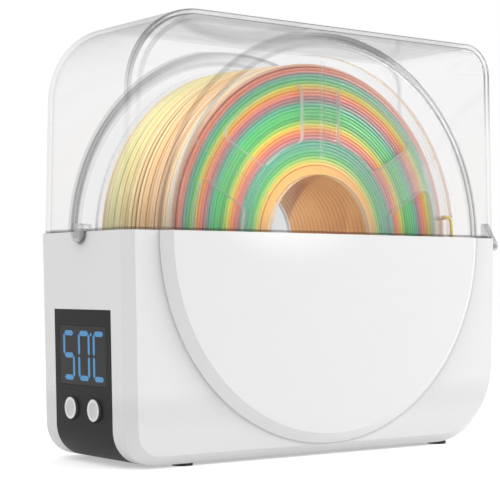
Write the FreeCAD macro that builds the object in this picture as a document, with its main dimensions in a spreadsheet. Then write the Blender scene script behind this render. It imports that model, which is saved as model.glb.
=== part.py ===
import FreeCAD, Part
import math
import os
import re

import Sketcher

# Filament dryer box: white lower housing, hinged clear lid, spool on two roller axles.
# Frame: X across the width with the display at -X and the hinge at +X, Y into the depth
# with the front at -Y, Z up from the surface that the rubber feet stand on.

Vector = FreeCAD.Vector
Rotation = FreeCAD.Rotation
Placement = FreeCAD.Placement

# Driving dimensions in millimetres: alias, value, meaning
SIZES = [
    ("housing_width", 262.0, "housing across its ends at the seam"),
    ("lid_set_back", 1.3, "lid ends behind the housing ends at the seam"),
    ("box_depth", 88.0, "housing and lid from front face to rear face"),
    ("box_height", 233.0, "housing underside to lid top"),
    ("seam_height", 118.6, "housing underside to housing rim"),
    ("foot_height", 1.5, "rubber feet below the housing"),
    ("large_corner", 45.0, "outline radius, top left and bottom right"),
    ("small_corner", 18.0, "outline radius, top right and bottom left"),
    ("end_draft", 2.6, "each end leans in by this from the seam to top or bottom"),
    ("edge_chamfer", 5.0, "chamfer round the front and rear faces"),
    ("housing_wall", 2.6, "housing wall"),
    ("lid_wall", 2.2, "lid wall"),
    ("seam_gap", 0.3, "lid rim above the housing rim"),
    ("disc_radius", 111.4, "raised disc at its foot"),
    ("disc_top_radius", 105.6, "raised disc at its face"),
    ("disc_rise", 4.5, "raised disc above the front and rear faces"),
    ("disc_wall", 2.0, "thickness of the disc covers"),
    ("peg_radius", 2.5, "locating pegs of the disc covers"),
    ("peg_circle", 88.0, "radius of the circle that the pegs stand on"),
    ("fit_clearance", 0.15, "gap round a piece let into another"),
    ("run_clearance", 0.05, "radial clearance of a turning pin or axle"),
    ("loose_clearance", 0.4, "gap between a dropped-in piece and its walls"),
    ("gasket_width", 1.6, "rim gasket section width"),
    ("gasket_height", 1.4, "rim gasket section height"),
    ("gasket_seat", 1.2, "depth of the gasket recess in the rim"),
    ("foot_radius", 5.5, "rubber foot"),
    ("foot_spacing_x", 180.0, "rubber feet apart across the width"),
    ("foot_spacing_y", 66.0, "rubber feet apart across the depth"),
    ("hinge_drop", 4.3, "hinge axis below the housing rim"),
    ("hinge_eye", 2.6, "outer radius of the hinge eyes"),
    ("hinge_pin_radius", 1.25, "hinge pin"),
    ("hinge_wall_gap", 0.35, "hinge eye off the housing end"),
    ("ear_inset", 6.0, "lid ear behind the front or rear face"),
    ("ear_width", 5.0, "lid ear along the hinge axis"),
    ("ear_rise", 8.8, "lid ear above the housing rim"),
    ("knuckle_width", 6.0, "housing knuckle along the hinge axis"),
    ("hinge_side_gap", 0.4, "lid ear to housing knuckle"),
    ("tongue_width", 10.0, "latch tongue across the depth"),
    ("tongue_thickness", 2.0, "latch tongue"),
    ("tongue_gap", 0.7, "latch tongue off the housing end"),
    ("tongue_rise", 3.6, "latch tongue above the housing rim"),
    ("tongue_drop", 5.8, "latch tongue below the housing rim"),
    ("catch_rise", 0.4, "latch catch above the housing end"),
    ("catch_radius", 1.6, "latch catch"),
    ("catch_drop", 3.0, "latch catch below the housing rim"),
    ("outlet_height", 106.0, "filament outlet above the housing underside"),
    ("outlet_radius", 4.5, "hole in the right end for the outlet grommet"),
    ("grommet_bore", 2.1, "bore of the outlet grommet"),
    ("grommet_lip", 1.4, "grommet flange beyond its hole and off the wall"),
    ("spool_radius", 100.0, "spool flange"),
    ("spool_width", 74.0, "spool over both flanges"),
    ("flange_thickness", 3.0, "spool flange"),
    ("hub_bore", 35.0, "spool bore radius"),
    ("hub_wall", 5.0, "spool hub wall"),
    ("window_inner", 53.6, "inner radius of the flange windows"),
    ("window_outer", 85.0, "outer radius of the flange windows"),
    ("window_corner", 4.0, "corner radius of the flange windows"),
    ("spoke_count", 6, "spokes of a flange"),
    ("spoke_width", 26.0, "spoke across"),
    ("rib_width", 2.2, "rib along the middle of each spoke"),
    ("rib_rise", 0.7, "rib above the flange"),
    ("rib_inner", 43.0, "inner end of each rib"),
    ("rib_outer", 97.0, "outer end of each rib"),
    ("filament_diameter", 1.75, "filament"),
    ("filament_radius", 94.0, "wound filament under its outer layer"),
    ("wound_gap", 0.1, "outer layer above the wound core"),
    ("wound_turns", 12, "whole turns of the outer layer"),
    ("wound_bend", 3.0, "bend radius where the outer layer leaves the flanges"),
    ("park_angle", 8.5, "angle of the parked end above the right horizontal"),
    ("park_hole", 1.3, "radius of the hole for the parked end"),
    ("park_tail", 2.5, "parked end beyond the flange"),
    ("roller_radius", 8.0, "roller under the spool"),
    ("roller_width", 6.0, "roller"),
    ("roller_angle", 30.0, "roller either side of straight down"),
    ("roller_gap", 0.3, "roller to spool flange"),
    ("axle_radius", 2.5, "roller axle"),
    ("bush_wall", 1.5, "axle bush"),
    ("bracket_span", 52.0, "bracket cheeks apart, middle to middle"),
    ("cheek_thickness", 4.0, "bracket cheek"),
    ("cheek_width", 13.0, "bracket cheek across"),
    ("cheek_cap", 6.0, "bracket cheek above the axle"),
    ("bracket_foot", 2.0, "bracket base plate"),
    ("bracket_foot_width", 26.0, "bracket base plate across"),
    ("bracket_screw_x", 10.0, "bracket screws either side of the axle"),
    ("bracket_screw_y", 14.0, "bracket screws either side of the middle"),
    ("deck_height", 92.0, "tray deck above the housing underside"),
    ("tray_wall", 2.0, "tray wall"),
    ("trough_radius", 104.0, "tray trough round the spool"),
    ("slot_clearance", 0.5, "tray roller slot beyond the rollers"),
    ("slot_width", 34.0, "tray roller slot across"),
    ("vent_count", 5, "warm air slots in the tray"),
    ("vent_pitch", 11.0, "warm air slots apart"),
    ("vent_width", 3.0, "warm air slot across"),
    ("vent_length", 50.0, "warm air slot along the depth"),
    ("ledge_width", 7.0, "ledge under the tray deck"),
    ("ledge_height", 4.0, "ledge under the tray deck"),
    ("screw_radius", 1.2, "screw shank"),
    ("screw_head", 2.4, "screw head radius"),
    ("screw_head_height", 1.6, "screw head"),
    ("tray_screw_y", 30.0, "tray screws either side of the middle"),
    ("panel_width", 56.0, "display panel across the depth"),
    ("panel_top", 78.3, "display panel above the housing underside"),
    ("panel_tuck", 30.0, "display panel under the housing"),
    ("lens_width", 46.0, "display lens across the depth"),
    ("lens_low", 39.3, "display lens lower edge"),
    ("lens_high", 70.0, "display lens upper edge"),
    ("button_height", 27.0, "buttons above the housing underside"),
    ("button_spacing", 22.8, "buttons apart"),
    ("button_radius", 5.8, "button cap"),
    ("button_clearance", 0.3, "button cap in its hole"),
    ("button_rise", 1.3, "button cap above the panel"),
    ("button_flange", 1.2, "button flange beyond the cap and its thickness"),
    ("button_travel", 0.8, "button travel"),
    ("button_stem", 2.0, "button stem radius"),
    ("switch_size", 6.0, "tact switch across"),
    ("switch_height", 3.2, "tact switch above the board"),
    ("board_set_back", 11.2, "board front behind the housing end at the seam"),
    ("board_thickness", 1.6, "control board"),
    ("board_width", 68.0, "control board across the depth"),
    ("board_low", 14.0, "control board lower edge"),
    ("board_high", 80.0, "control board upper edge"),
    ("post_radius", 3.0, "board post"),
    ("post_y", 31.6, "board posts either side of the middle"),
    ("post_low", 26.0, "lower board posts"),
    ("post_high", 74.0, "upper board posts"),
    ("module_gap", 0.3, "display module behind its lens"),
    ("inlet_x", -100.0, "power inlet across the width"),
    ("inlet_height", 28.0, "power inlet above the housing underside"),
    ("inlet_radius", 5.5, "power inlet barrel"),
    ("inlet_flange", 7.5, "power inlet flange radius"),
    ("inlet_flange_rise", 1.2, "power inlet flange thickness"),
    ("inlet_length", 12.0, "power inlet barrel inside the wall"),
    ("inlet_bore", 2.9, "power inlet socket radius"),
    ("inlet_bore_depth", 9.5, "power inlet socket depth"),
    ("inlet_pin", 1.0, "power inlet centre pin radius"),
    ("heater_length", 78.0, "heater plate across the width"),
    ("heater_width", 44.0, "heater plate across the depth"),
    ("heater_low", 6.0, "heater plate above the housing underside"),
    ("heater_thickness", 2.5, "heater plate"),
    ("film_margin", 7.0, "heater plate beyond its heating film"),
    ("film_thickness", 0.8, "heating film"),
    ("cutoff_length", 6.0, "thermal cut-off across the width"),
    ("cutoff_width", 12.0, "thermal cut-off across the depth"),
    ("cutoff_height", 4.0, "thermal cut-off"),
    ("probe_x", -116.0, "temperature probe across the width"),
    ("probe_y", 22.0, "temperature probe across the depth"),
    ("probe_board", 10.0, "temperature probe board across and high"),
    ("lead_radius", 1.2, "inner leads"),
    ("lead_turn", 16.0, "power lead from the inlet to its corner"),
    ("lead_height", 18.0, "heater lead where it leaves the board"),
]

doc = FreeCAD.newDocument("filament_dryer_box")
sheet = doc.addObject("Spreadsheet::Sheet", "Sizes")
for row, (alias, amount, meaning) in enumerate(SIZES, start=1):
    sheet.set("A%d" % row, meaning)
    sheet.set("B%d" % row, str(amount))
    sheet.setAlias("B%d" % row, alias)
doc.recompute()

ALIASES = {alias for alias, amount, meaning in SIZES}
nodes = []


# Helpers for expressions, primitives and booleans

def full(expression):
    """An expression with each alias written as a cell of the sheet."""
    return re.sub(
        r"[A-Za-z_][A-Za-z_0-9]*",
        lambda word: "Sizes." + word.group(0) if word.group(0) in ALIASES else word.group(0),
        str(expression),
    )


def value(expression):
    """The number that an expression gives now."""
    return float(sheet.evalExpression(full(expression)))


def bind(thing, prop, expression):
    """Tie one property to an expression on the sheet."""
    thing.setExpression(prop, full(expression))


def place(thing, x, y, z, rotation=None):
    """Turn a thing, then tie its place to three expressions."""
    thing.Placement = Placement(Vector(), rotation or Rotation())
    for letter, expression in zip("xyz", (x, y, z)):
        bind(thing, "Placement.Base." + letter, expression)
    return thing


def node(thing, label):
    """Name a finished sub-part."""
    thing.Label = label
    nodes.append(thing)
    return thing


def span(low, high):
    """The length between two expressions."""
    return "(%s) - (%s)" % (high, low)


def box(name, x, y, z):
    """A block between pairs of expressions along X, Y and Z."""
    thing = doc.addObject("Part::Box", name)
    for prop, (low, high) in zip(("Length", "Width", "Height"), (x, y, z)):
        bind(thing, prop, span(low, high))
    return place(thing, x[0], y[0], z[0])


ALONG = {
    "X": Rotation(Vector(0, 1, 0), 90),
    "Y": Rotation(Vector(1, 0, 0), -90),
    "Z": Rotation(),
}


def rod(name, axis, first, second, along, radius):
    """A cylinder along one axis; first and second are its two other coordinates in XYZ order."""
    thing = doc.addObject("Part::Cylinder", name)
    bind(thing, "Radius", radius)
    bind(thing, "Height", span(*along))
    start = {
        "X": (along[0], first, second),
        "Y": (first, along[0], second),
        "Z": (first, second, along[0]),
    }[axis]
    return place(thing, *start, rotation=ALONG[axis])


def fuse(name, things):
    """Several things joined into one."""
    thing = doc.addObject("Part::MultiFuse", name)
    thing.Shapes = things
    thing.Refine = True
    return thing


def group(name, things):
    """Several separate solids kept as one sub-part."""
    thing = doc.addObject("Part::Compound", name)
    thing.Links = things
    return thing


def cut(name, base, tools):
    """One thing with others taken out of it."""
    thing = doc.addObject("Part::Cut", name)
    thing.Base = base
    thing.Tool = tools[0] if len(tools) == 1 else group(name + "_tools", tools)
    return thing


def common(name, first, second):
    """What two things share."""
    thing = doc.addObject("Part::Common", name)
    thing.Base = first
    thing.Tool = second
    return thing


# Helpers for sketched bodies

def new_sketch(body, name, role):
    """A sketch on one of the body's own origin planes."""
    plane = [part for part in body.Origin.OriginFeatures if part.Role == role][0]
    sketch = body.newObject("Sketcher::SketchObject", name)
    sketch.AttachmentSupport = [(plane, "")]
    sketch.MapMode = "FlatFace"
    return sketch


def limit(sketch, constraint, expression):
    """Add a constraint whose size follows an expression."""
    index = sketch.addConstraint(constraint)
    bind(sketch, "Constraints[%d]" % index, expression)


def polygon(sketch, points):
    """A closed outline through points given as pairs of expressions."""
    corners = [Vector(value(across), value(up), 0) for across, up in points]
    count = len(corners)
    for index in range(count):
        sketch.addGeometry(Part.LineSegment(corners[index], corners[(index + 1) % count]), False)
    for index in range(count):
        sketch.addConstraint(Sketcher.Constraint("Coincident", index, 2, (index + 1) % count, 1))
    for index, (across, up) in enumerate(points):
        corner = corners[index]
        limit(sketch, Sketcher.Constraint("DistanceX", -1, 1, index, 1, corner.x), across)
        limit(sketch, Sketcher.Constraint("DistanceY", -1, 1, index, 1, corner.y), up)


def circles(sketch, radii):
    """Circles round the sketch's origin."""
    for radius in radii:
        size = value(radius)
        index = sketch.addGeometry(Part.Circle(Vector(), Vector(0, 0, 1), size), False)
        sketch.addConstraint(Sketcher.Constraint("Coincident", index, 3, -1, 1))
        limit(sketch, Sketcher.Constraint("Radius", index, size), radius)


def pad(body, name, sketch, length, midplane=True):
    """Pad a sketch by an expression."""
    feature = body.newObject("PartDesign::Pad", name)
    feature.Profile = sketch
    feature.Midplane = midplane
    bind(feature, "Length", length)
    doc.recompute()
    return feature


def edges_where(shape, test):
    """Names of a shape's edges whose two ends both pass a test."""
    return [
        "Edge%d" % (index + 1)
        for index, edge in enumerate(shape.Edges)
        if test(edge.Vertexes[0].Point, edge.Vertexes[-1].Point)
    ]


def dress(body, kind, name, base, edges, prop, size):
    """A fillet or chamfer whose size follows an expression."""
    feature = body.newObject("PartDesign::" + kind, name)
    feature.Base = (base, edges)
    bind(feature, prop, size)
    doc.recompute()
    return feature


NEAR = 0.01


def rounded_half(name, half_width, end_half_width, seam, end, left, right, depth, chamfer):
    """One half of the box outline: straight at the seam, rounded and chamfered at its end."""
    body = doc.addObject("PartDesign::Body", name)
    sketch = new_sketch(body, name + "_outline", "XZ_Plane")
    polygon(sketch, [
        ("-(%s)" % half_width, seam),
        (half_width, seam),
        (end_half_width, end),
        ("-(%s)" % end_half_width, end),
    ])
    feature = pad(body, name + "_block", sketch, depth)
    end_z = value(end)
    seam_z = value(seam)
    half_depth = value(depth) / 2
    for side, radius in ((-1, left), (1, right)):
        corner = edges_where(
            feature.Shape,
            lambda a, b: abs(a.y - b.y) > half_depth and side * a.x > 0 and abs(a.z - end_z) < NEAR,
        )
        label = name + ("_left_corner" if side < 0 else "_right_corner")
        feature = dress(body, "Fillet", label, feature, corner, "Radius", radius)
    rims = edges_where(
        feature.Shape,
        lambda a, b: abs(abs(a.y) - half_depth) < NEAR and abs(a.y - b.y) < NEAR
        and not (abs(a.z - seam_z) < NEAR and abs(b.z - seam_z) < NEAR),
    )
    dress(body, "Chamfer", name + "_edges", feature, rims, "Size", chamfer)
    return body


# Heights measured from the surface that the feet stand on
BASE = "foot_height"
RIM = "(foot_height + seam_height)"
TOP = "(foot_height + box_height)"
AXIS = "(foot_height + box_height / 2)"
FRONT = "(-box_depth / 2)"
REAR = "(box_depth / 2)"
INNER_DEPTH = "(box_depth - 2 * housing_wall)"
HOUSING_END = "(housing_width / 2)"
LID_END = "(housing_width / 2 - lid_set_back)"
OVERSHOOT = "1"
WALL_CHAMFER = "(2 - sqrt(2))"


def above(height):
    """A height over the housing underside, in the frame."""
    return "(foot_height + (%s))" % height


def end_face(height):
    """Where the drafted housing end stands, as a distance from the middle, at a height."""
    return "(housing_width / 2 - end_draft * (seam_height - (%s)) / seam_height)" % height


# Raised disc on the front and rear, as cones whose axis runs along Y
BOSS_INSET = "0.35"


def disc(name, side, inset, set_back):
    """The disc on one side, made smaller by an inset and moved inwards by a set-back."""
    thing = doc.addObject("Part::Cone", name)
    bind(thing, "Radius1", "disc_radius - (%s)" % inset)
    bind(thing, "Radius2", "disc_top_radius - (%s)" % inset)
    bind(thing, "Height", "disc_rise")
    turn = Rotation(Vector(1, 0, 0), 90 if side < 0 else -90)
    start = "%d * (box_depth / 2 - (%s))" % (side, set_back)
    return place(thing, "0", start, AXIS, turn)


SIDES = ((-1, "front"), (1, "rear"))
ENDS = ((-1, "left"), (1, "right"))
FAR = "300"


def half_space(name, low, high):
    """A block wider than the object between two heights."""
    return box(name, ("-" + FAR, FAR), ("-" + FAR, FAR), (low, high))


# Lower housing: shell, board posts, tray ledges, hinge knuckles, latch catch and holes
housing_outer = rounded_half(
    "housing_outer", HOUSING_END, HOUSING_END + " - end_draft", RIM, BASE,
    "small_corner", "large_corner", "box_depth", "edge_chamfer",
)
housing_inner = rounded_half(
    "housing_inner", HOUSING_END + " - housing_wall", HOUSING_END + " - end_draft - housing_wall",
    RIM + " + " + OVERSHOOT, BASE + " + housing_wall",
    "small_corner - housing_wall", "large_corner - housing_wall", INNER_DEPTH,
    "edge_chamfer - housing_wall * " + WALL_CHAMFER,
)
gasket_rim = rounded_half(
    "gasket_rim", HOUSING_END + " - housing_wall + gasket_width",
    HOUSING_END + " - end_draft - housing_wall + gasket_width",
    RIM + " + " + OVERSHOOT, BASE + " + housing_wall - gasket_width",
    "small_corner - housing_wall + gasket_width", "large_corner - housing_wall + gasket_width",
    INNER_DEPTH + " + 2 * gasket_width",
    "edge_chamfer - (housing_wall - gasket_width) * " + WALL_CHAMFER,
)
GASKET_SEAT = RIM + " - gasket_seat"
GASKET_TOP = GASKET_SEAT + " + gasket_height"
rim_recess = common(
    "rim_recess", gasket_rim, half_space("recess_slab", GASKET_SEAT, RIM + " + " + OVERSHOOT)
)
shell = cut("housing_shell", housing_outer, [housing_inner])

BOARD_FRONT = "(-housing_width / 2 + board_set_back)"
BOARD_BACK = "(-housing_width / 2 + board_set_back + board_thickness)"
POSTS = [
    (across, height, "%s_%s" % (depth_name, height_name))
    for across, depth_name in (("-post_y", "front"), ("post_y", "rear"))
    for height, height_name in (("post_low", "low"), ("post_high", "high"))
]
board_posts = [
    rod(
        "board_post_" + tag, "X", across, above(height),
        ("-" + end_face(height) + " + housing_wall / 2", BOARD_FRONT), "post_radius",
    )
    for across, height, tag in POSTS
]

DECK_TOP = above("deck_height")
DECK_LOW = above("deck_height - tray_wall")
INNER_END = "(" + end_face("deck_height") + " - housing_wall)"


def mirrored(side, low, high):
    """A span on the right, or its mirror image on the left."""
    if side > 0:
        return low, high
    return "-(%s)" % high, "-(%s)" % low


ledges = [
    box(
        "ledge_" + name,
        mirrored(side, INNER_END + " - ledge_width", INNER_END + " + housing_wall / 2"),
        (FRONT + " + housing_wall + edge_chamfer", REAR + " - housing_wall - edge_chamfer"),
        (DECK_LOW + " - ledge_height", DECK_LOW),
    )
    for side, name in ENDS
]

HINGE_X = "(housing_width / 2 + hinge_wall_gap + hinge_eye)"
HINGE_Z = "(foot_height + seam_height - hinge_drop)"


def along_hinge(side, inset, width):
    """A span of the hinge axis, counted inwards from the front or rear face."""
    return mirrored(side, "box_depth / 2 - (%s) - (%s)" % (inset, width), "box_depth / 2 - (%s)" % inset)


KNUCKLE_INSET = "ear_inset + ear_width + hinge_side_gap"
knuckles = []
for side, name in SIDES:
    reach = along_hinge(side, KNUCKLE_INSET, "knuckle_width")
    knuckles.append(rod("knuckle_eye_" + name, "Y", HINGE_X, HINGE_Z, reach, "hinge_eye"))
    knuckles.append(box(
        "knuckle_root_" + name, (HOUSING_END + " - housing_wall / 2", HINGE_X), reach,
        (HINGE_Z + " - hinge_eye", HINGE_Z + " + hinge_eye"),
    ))
catch = rod(
    "latch_catch", "X", "0", RIM + " - catch_drop",
    ("-" + HOUSING_END + " - catch_rise", "-" + HOUSING_END + " + housing_wall / 2"), "catch_radius",
)

PANEL_TOOL_X = ("-" + FAR, "-housing_width / 2 + end_draft + panel_tuck")


def panel_block(name, margin):
    """The block that the display panel is taken from, larger by a margin."""
    return box(
        name, (PANEL_TOOL_X[0], PANEL_TOOL_X[1] + " + " + margin),
        ("-panel_width / 2 - " + margin, "panel_width / 2 + " + margin),
        ("-" + FAR, above("panel_top") + " + " + margin),
    )


PEG_ANGLES = (200, 270, 340)


def pegs(name, side, radius, reach):
    """Three locating pegs, or their holes, under one disc cover."""
    made = []
    for angle in PEG_ANGLES:
        x = "peg_circle * cos(%d deg)" % angle
        z = AXIS + " + peg_circle * sin(%d deg)" % angle
        made.append(rod("%s_%d" % (name, angle), "Y", x, z, mirrored(side, *reach), radius))
    return made


peg_holes = [
    hole
    for side, name in SIDES
    for hole in pegs("peg_hole_" + name, side, "peg_radius + fit_clearance",
                     (REAR + " - housing_wall - " + OVERSHOOT, REAR + " + " + OVERSHOOT))
]
inlet_hole = rod(
    "inlet_hole", "Y", "inlet_x", above("inlet_height"),
    (REAR + " - housing_wall - " + OVERSHOOT, REAR + " + " + OVERSHOOT), "inlet_radius + fit_clearance",
)
OUTLET = ("0", above("outlet_height"))
OUTLET_FACE = end_face("outlet_height")
outlet_hole = rod(
    "outlet_hole", "X", *OUTLET,
    (OUTLET_FACE + " - housing_wall - " + OVERSHOOT, OUTLET_FACE + " + " + OVERSHOOT), "outlet_radius",
)
hinge_holes = [
    rod("knuckle_hole_" + name, "Y", HINGE_X, HINGE_Z,
        along_hinge(side, "ear_inset", "ear_width + hinge_side_gap + knuckle_width + " + OVERSHOOT),
        "hinge_pin_radius + run_clearance / 2")
    for side, name in SIDES
]

TRAY_SCREWS = [
    (side, across, "%s_%s" % (name, depth_name))
    for side, name in ENDS
    for across, depth_name in (("-tray_screw_y", "front"), ("tray_screw_y", "rear"))
]
TRAY_SCREW_X = "(" + INNER_END + " - ledge_width / 2)"


def tray_screw_rods(name, along, radius):
    """One upright rod at each tray screw."""
    return [
        rod(name + tag, "Z", "%d * %s" % (side, TRAY_SCREW_X), across, along, radius)
        for side, across, tag in TRAY_SCREWS
    ]


def board_screw_rods(name, along, radius):
    """One level rod at each board screw."""
    return [rod(name + tag, "X", across, above(height), along, radius) for across, height, tag in POSTS]


ROLLER_REACH = "(spool_radius + roller_gap + roller_radius)"
ROLLER_X = "(" + ROLLER_REACH + " * sin(roller_angle * 1 deg))"
ROLLER_Z = "(" + AXIS + " - " + ROLLER_REACH + " * cos(roller_angle * 1 deg))"
FLOOR = "(foot_height + housing_wall)"
FOOT_TOP = "(" + FLOOR + " + bracket_foot)"


def bracket_screw_rods(name, along, radius, ends=ENDS):
    """One upright rod at each bracket screw, two on a diagonal of each bracket."""
    return [
        rod("%s%s_%d" % (name, end_name, offset), "Z",
            "%d * (%s + %d * bracket_screw_x)" % (side, ROLLER_X, offset),
            "%d * bracket_screw_y" % offset, along, radius)
        for side, end_name in ends
        for offset in (-1, 1)
    ]


lower_housing = cut(
    "lower_housing",
    fuse("housing_body", [shell] + board_posts + ledges + knuckles + [catch]),
    [rim_recess, panel_block("panel_opening", "fit_clearance"), inlet_hole, outlet_hole]
    + peg_holes + hinge_holes
    + tray_screw_rods("ledge_hole_", (DECK_LOW + " - ledge_height - 1", RIM), "screw_radius")
    + board_screw_rods("post_hole_", (BOARD_FRONT + " - board_set_back / 3", BOARD_BACK), "screw_radius")
    + bracket_screw_rods("floor_hole_", ("0", FOOT_TOP), "screw_radius"),
)
node(lower_housing, "lower_housing")

# Disc covers: the lower part of each raised disc, hollow behind
for side, name in SIDES:
    cover_shell = cut(
        name + "_cover_shell", disc(name + "_cover_disc", side, "0", "0"),
        [disc(name + "_cover_hollow", side, "disc_wall * " + BOSS_INSET, "disc_wall")],
    )
    cover = common(name + "_cover_half", cover_shell, half_space(name + "_cover_slab", "-" + FAR, RIM))
    stems = pegs(
        name + "_cover_peg", side, "peg_radius",
        (REAR + " - housing_wall", REAR + " + disc_rise - disc_wall / 2"),
    )
    node(fuse(name + "_disc", [cover] + stems), name + "_disc_cover")

# Rim gasket
gasket_ring = common(
    "gasket_slab_part", gasket_rim, half_space("gasket_slab", GASKET_SEAT, GASKET_TOP)
)
node(cut("gasket", gasket_ring, [housing_inner]), "rim_gasket")

# Rubber feet
feet = [
    rod("foot_%d_%d" % (across, along), "Z", "%d * foot_spacing_x / 2" % across,
        "%d * foot_spacing_y / 2" % along, ("0", BASE), "foot_radius")
    for across in (-1, 1)
    for along in (-1, 1)
]
node(group("feet", feet), "rubber_feet")

# Clear lid: shell with both half discs, hinge ears and latch tongue
LID_LOW = "(" + RIM + " + seam_gap)"
lid_outer = rounded_half(
    "lid_outer", LID_END, LID_END + " - end_draft", RIM, TOP,
    "large_corner", "small_corner", "box_depth", "edge_chamfer",
)
lid_inner = rounded_half(
    "lid_inner", LID_END + " - lid_wall", LID_END + " - end_draft - lid_wall",
    RIM + " - " + OVERSHOOT, TOP + " - lid_wall",
    "large_corner - lid_wall", "small_corner - lid_wall", "box_depth - 2 * lid_wall",
    "edge_chamfer - lid_wall * " + WALL_CHAMFER,
)
lid_discs = [disc("lid_disc_" + name, side, "0", "0") for side, name in SIDES]
lid_mass = fuse("lid_mass", [lid_outer] + lid_discs)
lid_hollow = fuse(
    "lid_hollow",
    [lid_inner] + [
        disc("lid_disc_hollow_" + name, side, "lid_wall * " + BOSS_INSET, "lid_wall")
        for side, name in SIDES
    ],
)
lid_shell = cut("lid_shell", lid_mass, [lid_hollow, half_space("below_lid", "-" + FAR, LID_LOW)])

EAR_ROOT = LID_END + " - lid_wall / 2"
EAR_INSIDE = HOUSING_END + " + hinge_wall_gap"


def hinge_ear(name, side):
    """A lid ear that curves out of the lid's end and down to its eye."""
    body = doc.addObject("PartDesign::Body", name)
    sketch = new_sketch(body, name + "_outline", "XZ_Plane")
    polygon(sketch, [
        (EAR_ROOT, LID_LOW + " + seam_gap"),
        (EAR_INSIDE, LID_LOW + " + seam_gap"),
        (EAR_INSIDE, HINGE_Z),
        (HINGE_X + " + hinge_eye", HINGE_Z),
        (HINGE_X + " + hinge_eye / 2", RIM + " + ear_rise / 3"),
        (EAR_ROOT + " - end_draft * ear_rise / box_height", RIM + " + ear_rise"),
    ])
    pad(body, name + "_plate", sketch, "ear_width")
    middle = "%d * (box_depth / 2 - ear_inset - ear_width / 2)" % side
    bind(body, "Placement.Base.y", middle)
    return body


ears = []
for side, name in SIDES:
    ears.append(hinge_ear("lid_ear_" + name, side))
    ears.append(rod("lid_eye_" + name, "Y", HINGE_X, HINGE_Z,
                    along_hinge(side, "ear_inset", "ear_width"), "hinge_eye"))
ear_holes = [
    rod("ear_hole_" + name, "Y", HINGE_X, HINGE_Z,
        along_hinge(side, "ear_inset - " + OVERSHOOT, "ear_width + 2 * " + OVERSHOOT),
        "hinge_pin_radius + run_clearance")
    for side, name in SIDES
]
TONGUE_IN = "(-housing_width / 2 - tongue_gap)"
TONGUE_OUT = "(-housing_width / 2 - tongue_gap - tongue_thickness)"
TONGUE_TIP = "(" + RIM + " - tongue_drop + tongue_width / 2)"
tongue = [
    box("tongue_plate", (TONGUE_OUT, TONGUE_IN), ("-tongue_width / 2", "tongue_width / 2"),
        (TONGUE_TIP, RIM + " + tongue_rise")),
    rod("tongue_tip", "X", "0", TONGUE_TIP, (TONGUE_OUT, TONGUE_IN), "tongue_width / 2"),
    box("tongue_root", (TONGUE_OUT, "-" + LID_END + " + lid_wall / 2"),
        ("-tongue_width / 2", "tongue_width / 2"), (LID_LOW + " + seam_gap", RIM + " + tongue_rise")),
]
lid = cut("lid", fuse("lid_body", [lid_shell] + ears + tongue), ear_holes)
node(lid, "clear_lid")

# Filament outlet grommet, lipped outside and inside the right end
LIP_OUT = "(" + OUTLET_FACE + " + fit_clearance)"
LIP_IN = "(" + OUTLET_FACE + " - housing_wall - fit_clearance)"
GROMMET_OUT = "(" + LIP_OUT + " + grommet_lip)"
GROMMET_IN = "(" + LIP_IN + " - grommet_lip)"
grommet = cut(
    "grommet",
    fuse("grommet_body", [
        rod("grommet_neck", "X", *OUTLET, (GROMMET_IN, GROMMET_OUT), "outlet_radius - run_clearance"),
        rod("grommet_lip_out", "X", *OUTLET, (LIP_OUT, GROMMET_OUT), "outlet_radius + grommet_lip"),
        rod("grommet_lip_in", "X", *OUTLET, (GROMMET_IN, LIP_IN), "outlet_radius + grommet_lip"),
    ]),
    [rod("grommet_hole", "X", *OUTLET, (GROMMET_IN, GROMMET_OUT), "grommet_bore")],
)
node(grommet, "outlet_grommet")

# Hinge pins
for side, name in SIDES:
    pin = rod("pin_" + name, "Y", HINGE_X, HINGE_Z,
              along_hinge(side, "ear_inset", "ear_width + hinge_side_gap + knuckle_width"),
              "hinge_pin_radius")
    node(pin, "hinge_pin_" + name)

# Display panel, lens, module and board at the left end
BUTTONS = ((-1, "front"), (1, "rear"))


def button_y(side):
    """Where a button stands across the depth."""
    return "%d * button_spacing / 2" % side


LENS_Y = "lens_width / 2"


def lens_block(name, margin):
    """The block that the lens is taken from, larger by a margin."""
    return box(
        name, ("-" + FAR, "-housing_width / 4"),
        ("-%s - %s" % (LENS_Y, margin), "%s + %s" % (LENS_Y, margin)),
        (above("lens_low") + " - " + margin, above("lens_high") + " + " + margin),
    )


panel_shell = common("panel_shell", shell, panel_block("panel_piece", "0"))
button_holes = [
    rod("button_hole_" + name, "X", button_y(side), above("button_height"),
        ("-" + FAR, "-housing_width / 4"), "button_radius + button_clearance")
    for side, name in BUTTONS
]
panel = cut("panel", panel_shell, [lens_block("lens_opening", "fit_clearance")] + button_holes)
node(panel, "display_panel")
node(common("lens", shell, lens_block("lens_piece", "0")), "display_lens")

MODULE_FRONT = "(-" + end_face("lens_low") + " + housing_wall + module_gap)"
module = box("module", (MODULE_FRONT, BOARD_FRONT), ("-" + LENS_Y, LENS_Y),
             (above("lens_low"), above("lens_high")))
node(module, "display_module")

board = cut(
    "board",
    box("board_sheet", (BOARD_FRONT, BOARD_BACK), ("-board_width / 2", "board_width / 2"),
        (above("board_low"), above("board_high"))),
    board_screw_rods("board_hole_", (BOARD_FRONT + " - 1", BOARD_BACK + " + 1"),
                     "screw_radius + fit_clearance"),
)
node(board, "control_board")

SWITCH_FRONT = "(" + BOARD_FRONT + " - switch_height)"
switches = [
    box("switch_" + name, (SWITCH_FRONT, BOARD_FRONT),
        (button_y(side) + " - switch_size / 2", button_y(side) + " + switch_size / 2"),
        (above("button_height") + " - switch_size / 2", above("button_height") + " + switch_size / 2"))
    for side, name in BUTTONS
]
node(group("switches", switches), "tact_switches")

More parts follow.
